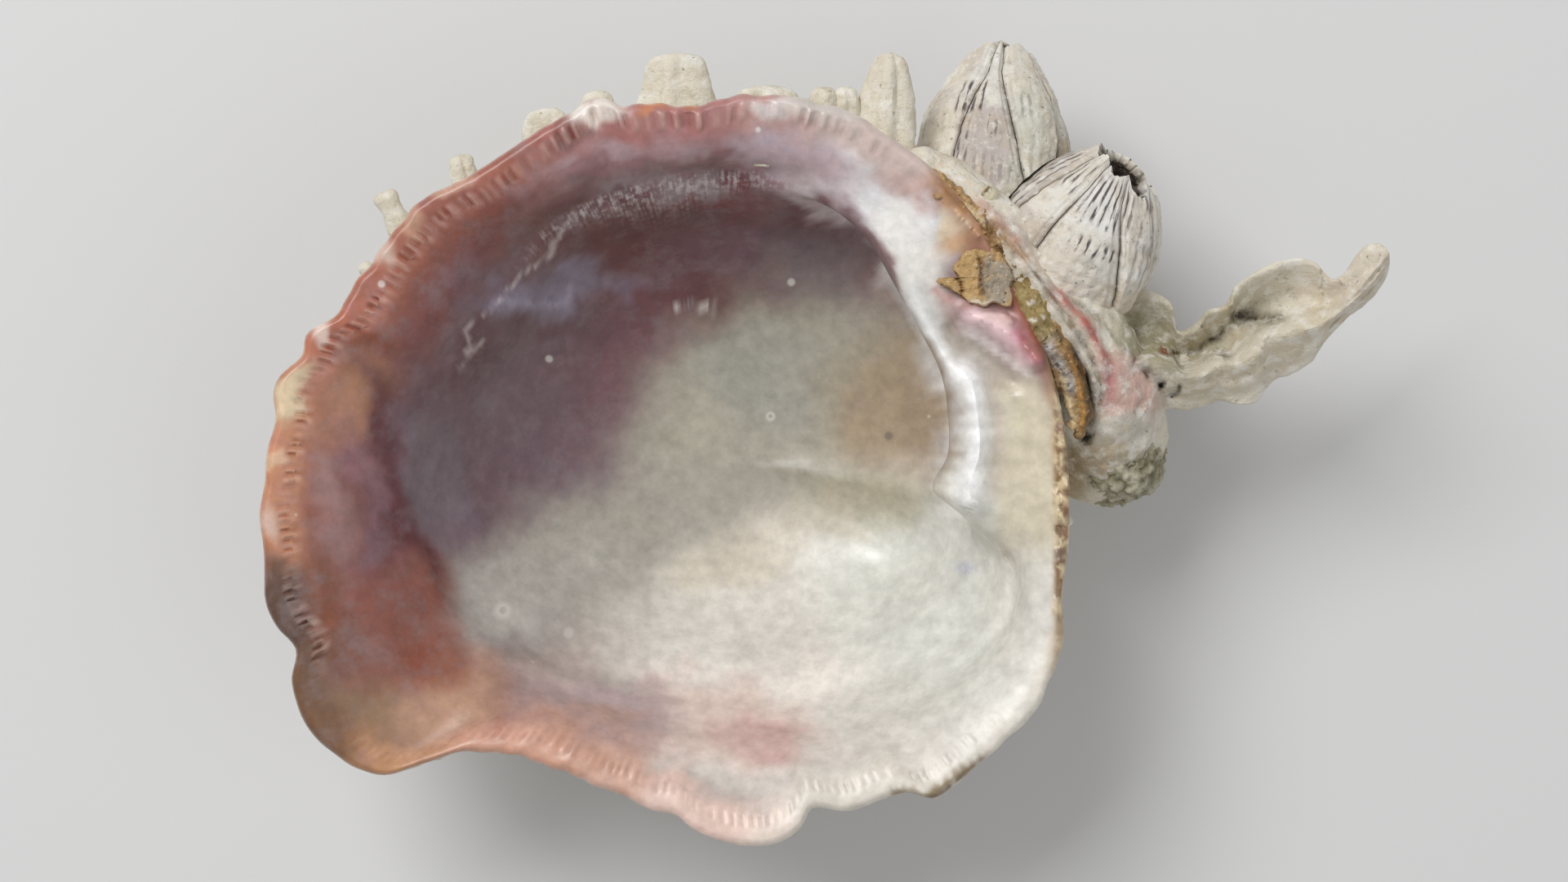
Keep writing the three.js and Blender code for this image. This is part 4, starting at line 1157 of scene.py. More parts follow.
STONE_CHIP = Weathered(
    # a crumb of cemented sand: tan and grey grains, no shine
    "sandy_fragment",
    (
        Patch(1.0, "#D9B680", (0.52, 0.66), 0.6, 6.0),
        Patch(0.5, "#7A6A58", (0.58, 0.68), 0.7, 4.0),
        Patch(0.3, "#EDE3CF", (0.6, 0.68), 0.6, 3.0),
    ),
    0.9, 0.45, 0.35, 0.3, "#4E3B28",
)
WORM_CALCITE = Weathered(
    # a worm's limy tube: smooth cream with faint rings
    "worm_tube_calcite",
    (Patch(1.5, "#C7B98F", (0.52, 0.7), 0.6), Patch(0.5, "#F1EBDC", (0.54, 0.66), 0.5)),
    0.7, 0.5, 0.2, 0.0,
)
CORAL_CRUST = Weathered(
    # coralline crust and lime grown over each other: knobbly, grey-green with violet and ochre scabs
    "coralline_crust",
    (
        Patch(4.0, "#8F8C72", (0.48, 0.66), 0.75),
        Patch(2.4, "#D8D2BE", (0.52, 0.66), 0.8, 6.0),
        Patch(3.2, "#958AA0", (0.62, 0.72), 0.6),
        Patch(1.2, "#7A6C3E", (0.58, 0.7), 0.7),
        Patch(0.5, "#4E4834", (0.62, 0.7), 0.7, 3.0),
    ),
    0.92, 0.9, 0.8, 0.3, "#423C2A",
)


# ---------------------------------------------------------------- the valve
RIM = [
    (42.3, 0.0, 31.5), (41.6, 7.0, 31.5), (39.6, 14.0, 31.5), (36.6, 20.5, 31.5), (33.0, 27.0, 32.0),
    (29.6, 31.2, 32.5), (25.2, 34.9, 33.0), (22.0, 37.0, 33.5), (18.0, 39.0, 33.8), (15.0, 39.8, 34.0),
    (12.4, 40.5, 34.0), (8.6, 40.5, 34.0), (5.0, 39.5, 34.0), (0.0, 39.5, 34.2), (-4.4, 39.2, 34.4),
    (-7.2, 40.2, 34.5), (-10.0, 38.5, 34.5), (-14.0, 36.2, 34.5), (-17.0, 34.2, 34.5), (-20.0, 32.2, 34.5),
    (-23.5, 30.6, 34.4), (-26.6, 28.2, 34.3), (-29.3, 25.2, 34.2), (-31.3, 22.2, 34.0), (-34.0, 18.0, 34.0),
    (-37.7, 15.2, 34.2), (-38.4, 13.0, 34.0), (-40.5, 10.6, 34.2), (-40.8, 5.4, 34.0), (-41.9, 2.2, 34.0),
    (-41.9, 0.0, 34.0), (-42.5, -3.4, 34.1), (-41.9, -8.0, 34.0), (-41.9, -12.0, 33.8), (-40.8, -15.0, 33.5),
    (-38.8, -17.6, 33.2), (-39.2, -21.0, 33.1), (-37.9, -25.2, 32.6), (-35.6, -27.9, 32.2),
    (-32.6, -30.2, 31.8), (-29.4, -30.8, 31.4), (-26.0, -29.8, 31.1), (-22.0, -28.5, 31.0),
    (-17.0, -28.8, 31.1), (-13.6, -29.4, 31.2), (-9.6, -31.2, 31.6), (-5.0, -32.8, 31.9),
    (-2.0, -34.4, 32.1), (1.0, -35.0, 32.3), (3.0, -36.6, 32.5), (7.6, -38.1, 32.7), (11.8, -37.8, 32.7),
    (14.1, -36.2, 32.5), (15.3, -34.3, 32.3), (19.0, -34.6, 32.5), (22.4, -33.4, 32.5), (25.4, -32.6, 32.4),
    (28.0, -33.2, 32.4), (31.2, -31.0, 32.3), (35.0, -27.8, 32.1), (38.0, -24.8, 32.0), (40.2, -21.0, 31.8),
    (41.8, -16.4, 31.6), (41.5, -12.6, 31.5), (42.2, -7.0, 31.5),
]
SHELF = [
    (29.8, 7.0, 29.5), (29.0, 11.5, 30.0), (26.8, 16.0, 30.0), (24.0, 21.0, 30.0), (20.4, 26.8, 29.6),
    (14.6, 31.0, 28.6), (7.0, 32.5, 28.0), (-1.0, 31.6, 28.0), (-8.0, 29.4, 27.5), (-14.0, 25.4, 27.0),
    (-19.0, 18.5, 26.5), (-24.0, 12.0, 26.5), (-27.6, 5.0, 26.5), (-28.8, -2.0, 26.5), (-27.4, -9.0, 26.0),
    (-23.4, -15.0, 25.0), (-16.0, -20.0, 24.5), (-7.0, -23.4, 24.0), (3.0, -25.4, 24.0), (13.0, -26.0, 24.0),
    (22.0, -24.5, 24.0), (30.0, -20.5, 24.5), (35.4, -15.0, 25.0), (36.4, -9.0, 25.5), (32.0, -4.0, 27.5),
    (28.4, -1.0, 29.0), (29.8, 3.0, 29.5),
]
PALLIAL_LINE = [
    (-28.6, -2.0), (-27.4, 5.0), (-23.8, 11.5), (-19.6, 16.4), (-16.8, 21.6), (-12.6, 26.2), (-7.4, 29.4),
    (-1.0, 31.4), (7.0, 32.3), (13.0, 31.5), (17.6, 29.2),
]
MUSCLE_SCAR = [
    (29.0, -4.4), (32.6, -5.4), (36.0, -8.4), (36.8, -12.6), (35.2, -16.8), (31.6, -19.6), (26.6, -21.4),
]
CREST = [
    (31.5, 28.8), (33.5, 28.2), (35.0, 26.8), (36.8, 26.2), (38.0, 24.0), (38.8, 21.8), (40.2, 20.0),
    (42.2, 18.2),
    (44.2, 16.2), (45.6, 13.6), (46.3, 10.5),
]
UMBO_RELIEFS = (
    Relief([(33.0, 27.2), (35.5, 24.7), (38.3, 21.6), (41.0, 17.4), (43.0, 15.0), (44.6, 12.0), (45.2, 9.0),
            (45.0, 6.6)], 0.75, 1.0, 0.25),
    Relief(CREST, 0.65, 1.0, 0.35),
    Relief([(36.2, 25.3), (38.2, 22.6), (39.8, 19.8), (42.2, 16.8), (44.4, 13.4), (45.7, 9.6), (45.4, 6.8)],
           0.3, -0.9, 0.3),
    Relief([(42.2, 13.8), (43.1, 12.2), (43.9, 10.8), (44.4, 9.0), (44.3, 7.0), (44.0, 5.6)], 0.55, -2.0),
    Relief([(43.9, 4.6), (44.4, 5.0)], 0.75, -3.2),
    Relief([(41.4, 19.6), (43.6, 18.4), (45.8, 16.8), (47.6, 14.4)], 0.4, -0.6, 0.3),
    Relief([(46.4, 16.0), (47.8, 14.0), (50.0, 12.3), (52.0, 11.0), (54.0, 10.4)], 0.6, 0.7, 0.3),
    Relief([(49.8, 12.3), (50.8, 11.1), (51.5, 10.4)], 0.2, -0.5),
    Relief([(52.2, 10.5), (52.7, 10.1)], 0.45, -1.2),
    Relief([(53.6, 9.1), (54.4, 9.5)], 0.4, -0.9),
    Relief([(46.4, 12.2), (46.7, 9.8), (47.0, 7.4)], 0.5, -0.35),
    Relief([(46.6, 6.6), (49.0, 6.9), (51.4, 7.6)], 0.7, 0.45, 0.3),
    Relief([(45.6, 3.4), (48.0, 3.9), (51.0, 5.2)], 0.8, -0.5, 0.3),
    Relief([(41.6, 8.6), (42.0, 5.0), (42.5, 1.0), (42.3, -3.0)], 0.4, 0.6, 0.35),
    Relief([(42.9, 4.0), (43.2, 1.0), (42.9, -2.4)], 0.35, 0.5, 0.35),
)
FROND_RELIEFS = (
    Relief([(59.2, 17.5), (61.0, 17.9), (63.4, 17.2), (65.4, 17.4), (66.2, 18.2)], 0.5, -1.3, 0.3),
    Relief([(59.3, 16.8), (59.0, 15.4), (57.6, 14.9)], 0.35, -0.9),
    Relief([(58.2, 14.2), (59.0, 13.3), (60.2, 13.6)], 0.4, -0.9),
    Relief([(60.0, 15.4), (62.0, 15.8), (63.6, 15.4)], 1.5, 0.9),
    Relief([(55.6, 15.2), (57.4, 16.0)], 1.2, 0.7),
    Relief([(52.6, 13.6), (54.6, 13.6), (56.6, 13.7), (57.6, 14.6)], 0.3, -0.5, 0.3),
)
FROND = (
    ((44.0, 7.0), (44.0, 17.0), (21.0, 25.0, 21.0, 21.0)),
    ((48.5, 7.2), (49.0, 20.2), (22.0, 27.4, 21.2, 23.4)),
    ((51.5, 7.5), (51.8, 20.2), (22.6, 27.6, 21.4, 24.6)),
    ((53.3, 7.7), (53.6, 18.9), (23.0, 27.4, 21.6, 25.0)),
    ((55.0, 7.7), (54.4, 16.0), (23.2, 27.2, 21.8, 24.2)),
    ((57.0, 7.9), (56.3, 16.9), (23.4, 27.2, 22.0, 25.2)),
    ((58.8, 8.5), (57.4, 18.3), (23.6, 27.2, 22.2, 26.2)),
    ((60.5, 8.2), (59.1, 18.6), (23.8, 27.4, 22.4, 26.4)),
    ((62.6, 8.3), (60.2, 20.6), (24.0, 27.6, 22.8, 27.4)),
    ((64.6, 10.6), (63.0, 22.6), (24.2, 28.0, 23.4, 28.4)),
    ((66.6, 11.4), (66.4, 23.6), (24.6, 28.4, 24.2, 28.8)),
    ((68.6, 12.7), (68.5, 22.9), (25.2, 28.8, 25.6, 28.6)),
    ((70.4, 15.4), (70.1, 21.4), (26.0, 29.2, 27.0, 28.6)),
    ((72.4, 17.4), (71.3, 21.9), (27.0, 30.0, 28.6, 28.8)),
    ((74.2, 19.0), (72.6, 23.8), (28.0, 30.6, 30.0, 29.4)),
    ((75.7, 21.0), (73.6, 24.9), (28.8, 31.0, 30.8, 30.0)),
    ((76.3, 23.2), (74.9, 25.3), (29.6, 31.0, 31.0, 30.4)),
)


@dataclass
class ValveForm:
    """The bowl of the valve as one surface, from its scar round the rim to the cavity's floor."""

    pole: tuple[float, float] = (5.0, 2.0)
    scar_centre: tuple[float, float] = (12.0, 3.0)
    scar_radii: tuple[float, float] = (17.0, 14.5)
    floor_height: float = 6.5
    lip_height: float = 1.7
    undercut: float = 5.5
    fullness_open: float = 1.32
    fullness_hinge: float = 2.3
    crenulation_pitches: tuple[float, float] = (1.65, 1.0)
    crenulation_depth: float = 0.32
    columns: int = 480
    rows: tuple[int, ...] = (5, 38, 2, 2, 7, 7, 6, 3, 4, 8, 9, 9, 8)
    band_span: int = 4
    lip_span: int = 7
    plate_reliefs: tuple[Relief, ...] = (
        Relief([(30.0, 12.8), (31.8, 10.4), (32.6, 7.0), (32.6, 3.0), (32.0, -1.0), (30.6, -4.6)], 1.45, 1.8,
               0.15),
        Relief([(30.4, 17.8), (33.0, 17.0), (36.0, 15.4), (38.2, 13.2), (39.2, 11.2)], 1.25, 1.9, 0.1),
        Relief([(29.4, 17.2), (31.6, 14.8), (34.4, 12.2), (37.4, 9.6)], 1.3, -1.3),
        Relief([(35.6, 9.0), (36.4, 3.0), (36.8, -4.0), (36.8, -10.0)], 2.6, -0.8),
        Relief([(19.0, 29.6), (24.4, 22.8), (27.4, 16.6), (29.4, 11.0), (30.2, 6.0)], 1.1, 0.5),
        Relief([(24.0, 32.0), (29.0, 26.0), (31.5, 21.0)], 2.2, -0.4),
        Relief([(28.6, 31.4), (31.4, 28.4), (33.6, 26.2), (35.2, 24.4)], 0.4, 0.6, 0.5),
        Relief([(29.6, 28.6), (31.6, 26.6), (33.2, 25.2)], 0.5, 0.4, 0.5),
        Relief([(40.2, 11.6), (41.2, 8.0), (41.6, 4.0), (41.8, -2.0)], 0.5, 0.4, 0.3),
    )
    cavity_reliefs: tuple[Relief, ...] = (
        Relief(MUSCLE_SCAR, 0.45, -0.3),
        Relief([(20.0, -9.0), (26.0, -10.0), (32.0, -11.0)], 3.0, -0.5),
        Relief([(-19.0, 17.4), (-15.0, 19.0), (-8.0, 19.6), (-1.0, 19.4)], 1.6, 0.4),
        Relief([(-36.0, 4.0), (-34.4, -1.0), (-34.0, -7.0)], 1.4, 0.35),
    )
    rim: Contour = field(init=False)
    shelf: Contour = field(init=False)
    scar: Contour = field(init=False)

    def __post_init__(self) -> None:
        """Makes the outlines that the surface runs between."""
        self.rim = Contour(self.pole, RIM)
        self.shelf = Contour(self.pole, SHELF)
        turns = [2.0 * math.pi * i / 32 for i in range(32)]
        (cx, cy), (rx, ry) = self.scar_centre, self.scar_radii
        self.scar = Contour(self.pole, [(cx + rx * math.cos(a), cy + ry * math.sin(a), 0.0) for a in turns])

    def edge(self, theta: Array) -> tuple[Array, Array]:
        """Radius and height of the rim, nibbled between its main scallops.

        Args:
            theta: Angles about the pole, in radians.

        Returns:
            The radii and the heights.
        """
        radius, height = self.rim.at(theta)
        nibbled = 0.22 * np.sin(23.0 * theta + 2.6 * np.sin(3.0 * theta))
        nibbled = nibbled + 0.14 * np.sin(41.0 * theta + 4.0 * np.sin(2.0 * theta) + 1.0)
        nibbled = nibbled + 0.1 * np.sin(83.0 * theta + 5.0 * np.sin(3.0 * theta) + 2.0)
        patchy = 0.55 + 0.45 * np.sin(2.0 * theta + 2.0 * np.sin(theta * 3.0))
        return radius + nibbled * patchy * (1.0 - self.hinge_share(theta)), height

    def hinge_share(self, theta: Array) -> Array:
        """1 along the hinge and 0 round the open margin, at each angle.

        Args:
            theta: Angles about the pole, in radians.

        Returns:
            One share for each angle.
        """
        degrees = np.degrees(np.arctan2(np.sin(theta), np.cos(theta)))
        return smooth((degrees + 24.0) / 24.0) * smooth((82.0 - degrees) / 34.0)

    def hollow_share(self, theta: Array) -> Array:
        """How far the cavity reaches in under the hinge at each angle, from 0 to 1.

        Args:
            theta: Angles about the pole, in radians.

        Returns:
            One share for each angle.
        """
        degrees = np.degrees(np.arctan2(np.sin(theta), np.cos(theta)))
        return smooth((degrees + 70.0) / 85.0) * smooth((110.0 - degrees) / 80.0)

    def outer(self, theta: Array, share: Array) -> Array:
        """Radius and height of the outer wall, from the scar's edge, share 0, up to the rim.

        Args:
            theta: Angles about the pole, in radians.
            share: Shares of the height, from 0 to 1.

        Returns:
            Radius and height, a row for each angle.
        """
        radius, height = self.edge(theta)
        foot = self.scar.at(theta)[0]
        power = mix(self.fullness_open, self.fullness_hinge, self.hinge_share(theta))
        across = (1.0 - (1.0 - share) ** power) ** (1.0 / power)
        return np.stack([mix(foot, radius - 0.2, across), (height - self.lip_height) * share], 1)

    def inner_controls(self, theta: Array) -> Array:
        """Profile of the cavity at each angle, from under the lip, over it and down to the floor.

        Args:
            theta: Angles about the pole, in radians.

        Returns:
            Radius and height, stop by stop.
        """
        top_r, top_z = self.edge(theta)
        edge_r, edge_z = self.shelf.at(theta)
        hinge, hollow = self.hinge_share(theta), self.hollow_share(theta)
        band = top_r - mix(3.6, 2.2, hinge)
        rows = [
            (top_r - 0.2, top_z - self.lip_height),
            (top_r - 0.1, top_z - 0.7),
            (top_r - 0.8, top_z),
            (band, top_z - mix(0.9, 0.4, hinge)),
            (mix(band, edge_r, 0.55), mix(top_z, edge_z, mix(0.45, 0.6, hinge))),
            (edge_r + 0.3, edge_z + 0.3),
            (edge_r + mix(-0.9, -0.2, hinge), edge_z - mix(0.9, 1.3, hinge)),
            (edge_r + mix(-2.4, self.undercut * 0.5, hinge), edge_z - mix(3.2, 4.6, hinge)),
            (mix(edge_r * 0.82, edge_r + self.undercut, hinge), np.full_like(theta, 18.5)),
            (edge_r * mix(0.58, 0.74, hollow), np.full_like(theta, 11.6)),
            (edge_r * mix(0.28, 0.34, hollow), np.full_like(theta, 7.4)),
            (np.zeros_like(theta), np.full_like(theta, self.floor_height)),
        ]
        return np.stack([np.stack([np.broadcast_to(c, theta.shape) for c in row], 1) for row in rows])

    def place(self, theta: Array, profile: Array) -> Array:
        """Turns angles, radii and heights into positions in mm.

        Args:
            theta: Angles about the pole, in radians.
            profile: Radius and height of each point, in mm.

        Returns:
            Positions in mm, one row each.
        """
        x = self.pole[0] + profile[:, 0] * np.cos(theta)
        y = self.pole[1] + profile[:, 0] * np.sin(theta)
        return np.stack([x, y, profile[:, 1]], 1)

    def surface(self, around: Array, row: Array) -> Array:
        """Smooth position of each point of the bowl.

        Args:
            around: Share of a turn about the pole.
            row: Row counted from the scar's centre.

        Returns:
            Positions in mm.
        """
        theta = around * TURN
        starts = np.concatenate([[0], np.cumsum(self.rows)])
        foot = self.scar.at(theta)[0]
        scar = np.stack([foot * np.clip(row / starts[1], 0.0, 1.0), np.zeros_like(theta)], 1)
        share = np.clip((row - starts[1]) / self.rows[1], 0.0, 1.0)
        profile = np.where((row <= starts[1])[:, None], scar, self.outer(theta, share**1.25))
        position = np.interp(row, starts[2:], np.arange(len(starts) - 2))
        inner = spline(self.inner_controls(theta), position)
        profile = np.where((row >= starts[2])[:, None], inner, profile)
        return self.place(theta, profile)

    def normals(self, around: Array, row: Array) -> Array:
        """Outward direction at each point of the bowl.

        Args:
            around: Shares of a turn about the pole.
            row: Row counted from the scar's centre.

        Returns:
            Unit directions, one row each.
        """
        a, r = 1e-4, 0.02
        side = self.surface(around + a, row) - self.surface(around - a, row)
        up = self.surface(around, row + r) - self.surface(around, row - r)
        normal = np.cross(side, up)
        length = np.linalg.norm(normal, axis=1, keepdims=True)
        return normal / np.maximum(length, 1e-9)

    def rim_arc(self, around: Array) -> tuple[Array, Array]:
        """Length in mm and number of crenulations along the rim up to each share of a turn.

        Args:
            around: Shares of a turn about the pole.

        Returns:
            The lengths and the counts.
        """
        turns = np.linspace(0.0, 1.0, 1441)
        radius, height = self.rim.at(turns * TURN)
        points = self.place(turns * TURN, np.stack([radius - 2.5, height], 1))
        steps = np.linalg.norm(np.diff(points, axis=0), axis=1)
        pitch = mix(*self.crenulation_pitches, self.westward(0.5 * (turns[1:] + turns[:-1])))
        lengths = np.concatenate([[0.0], np.cumsum(steps)])
        counts = np.concatenate([[0.0], np.cumsum(steps / pitch)])
        return np.interp(around % 1.0, turns, lengths), np.interp(around % 1.0, turns, counts)

    def westward(self, around: Array) -> Array:
        """0 opposite the spines and 1 along the side away from the hinge, at each share of a turn.

        Args:
            around: Shares of a turn about the pole.

        Returns:
            One share for each place.
        """
        return smooth(((around % 1.0) * 360.0 - 100.0) / 45.0)

    def crenulated(self, around: Array) -> Array:
        """How strongly the rim is crenulated at each share of a turn: most opposite the hinge.

        Args:
            around: Shares of a turn about the pole.

        Returns:
            One strength for each place.
        """
        degrees = (around % 1.0) * 360.0
        patchy = 0.75 + 0.25 * np.sin(degrees * 0.21) * np.sin(degrees * 0.083 + 1.0)
        strong = smooth((degrees - 56.0) / 14.0) * smooth((214.0 - degrees) / 12.0) * patchy
        faint = 0.3 * smooth((degrees - 210.0) / 12.0) * smooth((325.0 - degrees) / 20.0)
        return strong + faint

    def ribs(self, points: Array, share: Array) -> Array:
        """Height in mm of the outer wall's radial ribs and growth steps.

        Args:
            points: Positions in mm, one row each.
            share: Shares of the height, from 0 to 1.

        Returns:
            One height for each point.
        """
        angle = np.arctan2(points[:, 1] - 8.0, points[:, 0] - 47.0)
        main = np.cos(angle * 26.0 + 0.6 * np.sin(angle * 5.0))
        fine = np.cos(angle * 104.0 + 2.0 * np.sin(angle * 9.0))
        distance = np.hypot(points[:, 0] - 47.0, points[:, 1] - 8.0)
        step = (distance * 0.31 + 0.25 * np.sin(angle * 7.0)) % 1.0
        fade = smooth(share / 0.12) * smooth((1.0 - share) / 0.05)
        return fade * (0.55 * main + 0.14 * fine + 0.5 * step**2.2 - 0.2)

    def build(self) -> bpy.types.Object:
        """Bends a grid round into the closed bowl and carves its surface.

        Returns:
            The bowl, closed, with its measuring attributes stored.
        """
        total = sum(self.rows)
        starts = np.concatenate([[0], np.cumsum(self.rows)])
        band = (starts[self.band_span] / total, starts[self.band_span + 1] / total)
        piece = flat_grid("valve_shell", self.columns, total, band)
        around, height = unit(piece)
        row = height * total
        points = self.surface(around, row)
        normal = self.normals(around, row)
        share = np.clip((row - starts[1]) / self.rows[1], 0.0, 1.0)
        outside = (row > starts[1]) & (row < starts[2])
        inside = smooth((row - starts[2]) / 3.0)
        lump = grain(points, 9.0, 4, 3.0)
        pits = grain(points, 2.2, 3, 11.0)
        rise = np.where(outside, self.ribs(points, share) + 0.5 * lump * smooth(share * 8.0), 0.0)
        rise = rise + np.where(outside, 0.16 * pits * smooth(share * 8.0), 0.0)
        margin = self.rim.at(around * TURN)[0] - np.hypot(
            points[:, 0] - self.pole[0], points[:, 1] - self.pole[1])
        arc, count = self.rim_arc(around)
        inner = row > starts[2]
        teeth = np.cos(2 * math.pi * (count + 0.22 * np.sin(arc * 0.7) + 0.12 * np.sin(arc * 2.3)))
        teeth = teeth * (0.65 + 0.35 * np.sin(arc * 1.3 + 2.0 * np.sin(arc * 0.37)))
        inset = mix(0.8, 1.9, self.westward(around))
        belt = smooth((margin - inset) / 0.5) * smooth((inset + 2.4 - margin) / 0.8) * self.crenulated(around)
        rise = rise + np.where(inner, self.crenulation_depth * teeth * belt * inside, 0.0)
        points = points + normal * rise[:, None]
        under_plate = self.hinge_share(around * TURN) * (row > starts[self.lip_span])
        plate = inner & (row < starts[self.lip_span] + 1)
        lift = np.where(plate, sum(relief.rise(points) for relief in self.plate_reliefs), 0.0)
        lift = lift + (1.0 - under_plate) * sum(relief.rise(points) for relief in self.cavity_reliefs)
        flaky = inner * smooth((points[:, 0] - 40.4) / 0.8) * smooth((14.0 - points[:, 1]) / 3.0)
        lift = lift + 0.7 * flaky * smooth((points[:, 1] + 20.0) / 8.0) * grain(points, 1.4, 4, 51.0)
        lift = lift + 0.18 * grain(points, 14.0, 2, 5.0) * smooth((margin - 2.0) / 4.0)
        points[:, 2] += np.where(inner, lift * inside, 0.0)
        write_points(piece, points)
        store(piece, "inside", inside * inner)
        store(piece, "margin", np.where(inner, margin, -1.0))
        store(piece, "rim_arc", arc)
        store(piece, "teeth", 0.5 + 0.5 * teeth)
        store(piece, "belt", belt * inside * inner)
        store(piece, "crenulated", self.crenulated(around) * self.westward(around) * inner)
        distance, length = along(points, PALLIAL_LINE)
        ends = smooth((length - 0.4) / 0.2) * smooth((1.0 - length) / 0.12)
        radius = np.hypot(points[:, 0] - self.pole[0], points[:, 1] - self.pole[1])
        within = self.shelf.at(around * TURN)[0] - radius
        reach = mix(0.4, 2.2, smooth((length - 0.5) / 0.2) * smooth((0.92 - length) / 0.2))
        halo = np.exp(-((np.maximum(within - 0.5, 0.0) / reach) ** 2)) * smooth((within + 0.5) / 0.5)
        store(piece, "frost", 0.75 * halo * ends * (distance < 6.0) * inner)
        close_up(piece)
        return piece


@dataclass(frozen=True)
class Station:
    """One stop along a sweep: its place, half its width and how flat its section is."""

    at: tuple[float, float, float]
    radius: float
    flat: float = 1.0


@dataclass(frozen=True)
class Sweep:
    """A solid swept along a smooth line, with rounded ends and a rough skin."""

    stations: tuple[Station, ...]
    around: int
    steps: int
    end_share: float = 0.12
    end_power: float = 2.2
    furrows: tuple[float, ...] = ()
    furrow_depth: float = 0.0
    lump_size: float = 4.0
    lump_height: float = 0.3
    seed: float = 0.0

    def build(self, name: str) -> bpy.types.Object:
        """Wraps a grid round the line.

        Args:
            name: The new object's name.

        Returns:
            The closed solid.
        """
        piece = flat_grid(name, self.around, self.steps)
        turn, share = unit(piece)
        places = np.array([station.at for station in self.stations], dtype=float)
        sizes = np.array([(station.radius, station.flat) for station in self.stations], dtype=float)
        steps = np.concatenate([[0.0], np.cumsum(np.linalg.norm(np.diff(places, axis=0), axis=1))])

        def line(t: Array) -> Array:
            """Middle of the sweep at each share of its length.

            Args:
                t: How far along it is, from 0 to 1.

            Returns:
                Positions in mm, one row each.
            """
            position = np.interp(t * steps[-1], steps, np.arange(len(places)))
            return spline(np.repeat(places[:, None, :], len(t), axis=1), position)

        middle = line(share)
        tangent = line(np.clip(share + 0.01, 0, 1)) - line(np.clip(share - 0.01, 0, 1))
        tangent /= np.linalg.norm(tangent, axis=1, keepdims=True)
        across = np.cross(np.array([0.0, 0.0, 1.0]), tangent)
        across /= np.maximum(np.linalg.norm(across, axis=1, keepdims=True), 1e-6)
        up = np.cross(tangent, across)
        position = np.interp(share * steps[-1], steps, np.arange(len(places)))
        size = spline(np.repeat(sizes[:, None, :], len(share), axis=1), position)
        ends = np.clip(np.minimum(share, 1.0 - share) / self.end_share, 0.0, 1.0)
        taper = (1.0 - (1.0 - ends) ** self.end_power) ** (1.0 / self.end_power)
        angle = turn * TURN
        cut = sum(np.exp(-(((np.cos(angle) - furrow) / 0.24) ** 2)) for furrow in self.furrows)
        flute = 1.0 - self.furrow_depth * cut * smooth(share * 3.0) * (np.sin(angle) > 0.0)
        radius = size[:, 0] * taper * flute
        ring = across * (np.cos(angle) * radius)[:, None]
        ring = ring + up * (np.sin(angle) * radius * size[:, 1])[:, None]
        points = middle + ring
        bumps = grain(points, self.lump_size, 4, self.seed) * self.lump_height
        outward = ring / np.maximum(np.linalg.norm(ring, axis=1, keepdims=True), 1e-6)
        write_points(piece, points + outward * (bumps * taper)[:, None])
        close_up(piece)
        return piece


@dataclass(frozen=True)
class Spine:
    """A blunt scale of the outside, drawn by its widths from inside the wall to its worn tip."""

    root: tuple[float, float, float]
    tip: tuple[float, float, float]
    widths: tuple[float, ...]
    flat: float = 0.7
    furrows: tuple[float, ...] = ()
    seed: float = 0.0

    def build(self, name: str, around: int = 36, steps: int = 30) -> bpy.types.Object:
        """Sweeps the spine from inside the wall to its tip.

        Args:
            name: The new object's name.
            around: Faces round the section.
            steps: Faces along the length.

        Returns:
            The closed solid.
        """
        root, tip = np.array(self.root), np.array(self.tip)
        last = len(self.widths) - 1
        stations = tuple(
            Station(tuple(mix(root, tip, i / last)), width / 2, mix(0.9, self.flat, (i / last) ** 0.5))
            for i, width in enumerate(self.widths))
        return Sweep(stations, around, steps, 0.17, 3.2, self.furrows, 0.3, 2.0, 0.24, self.seed).build(name)


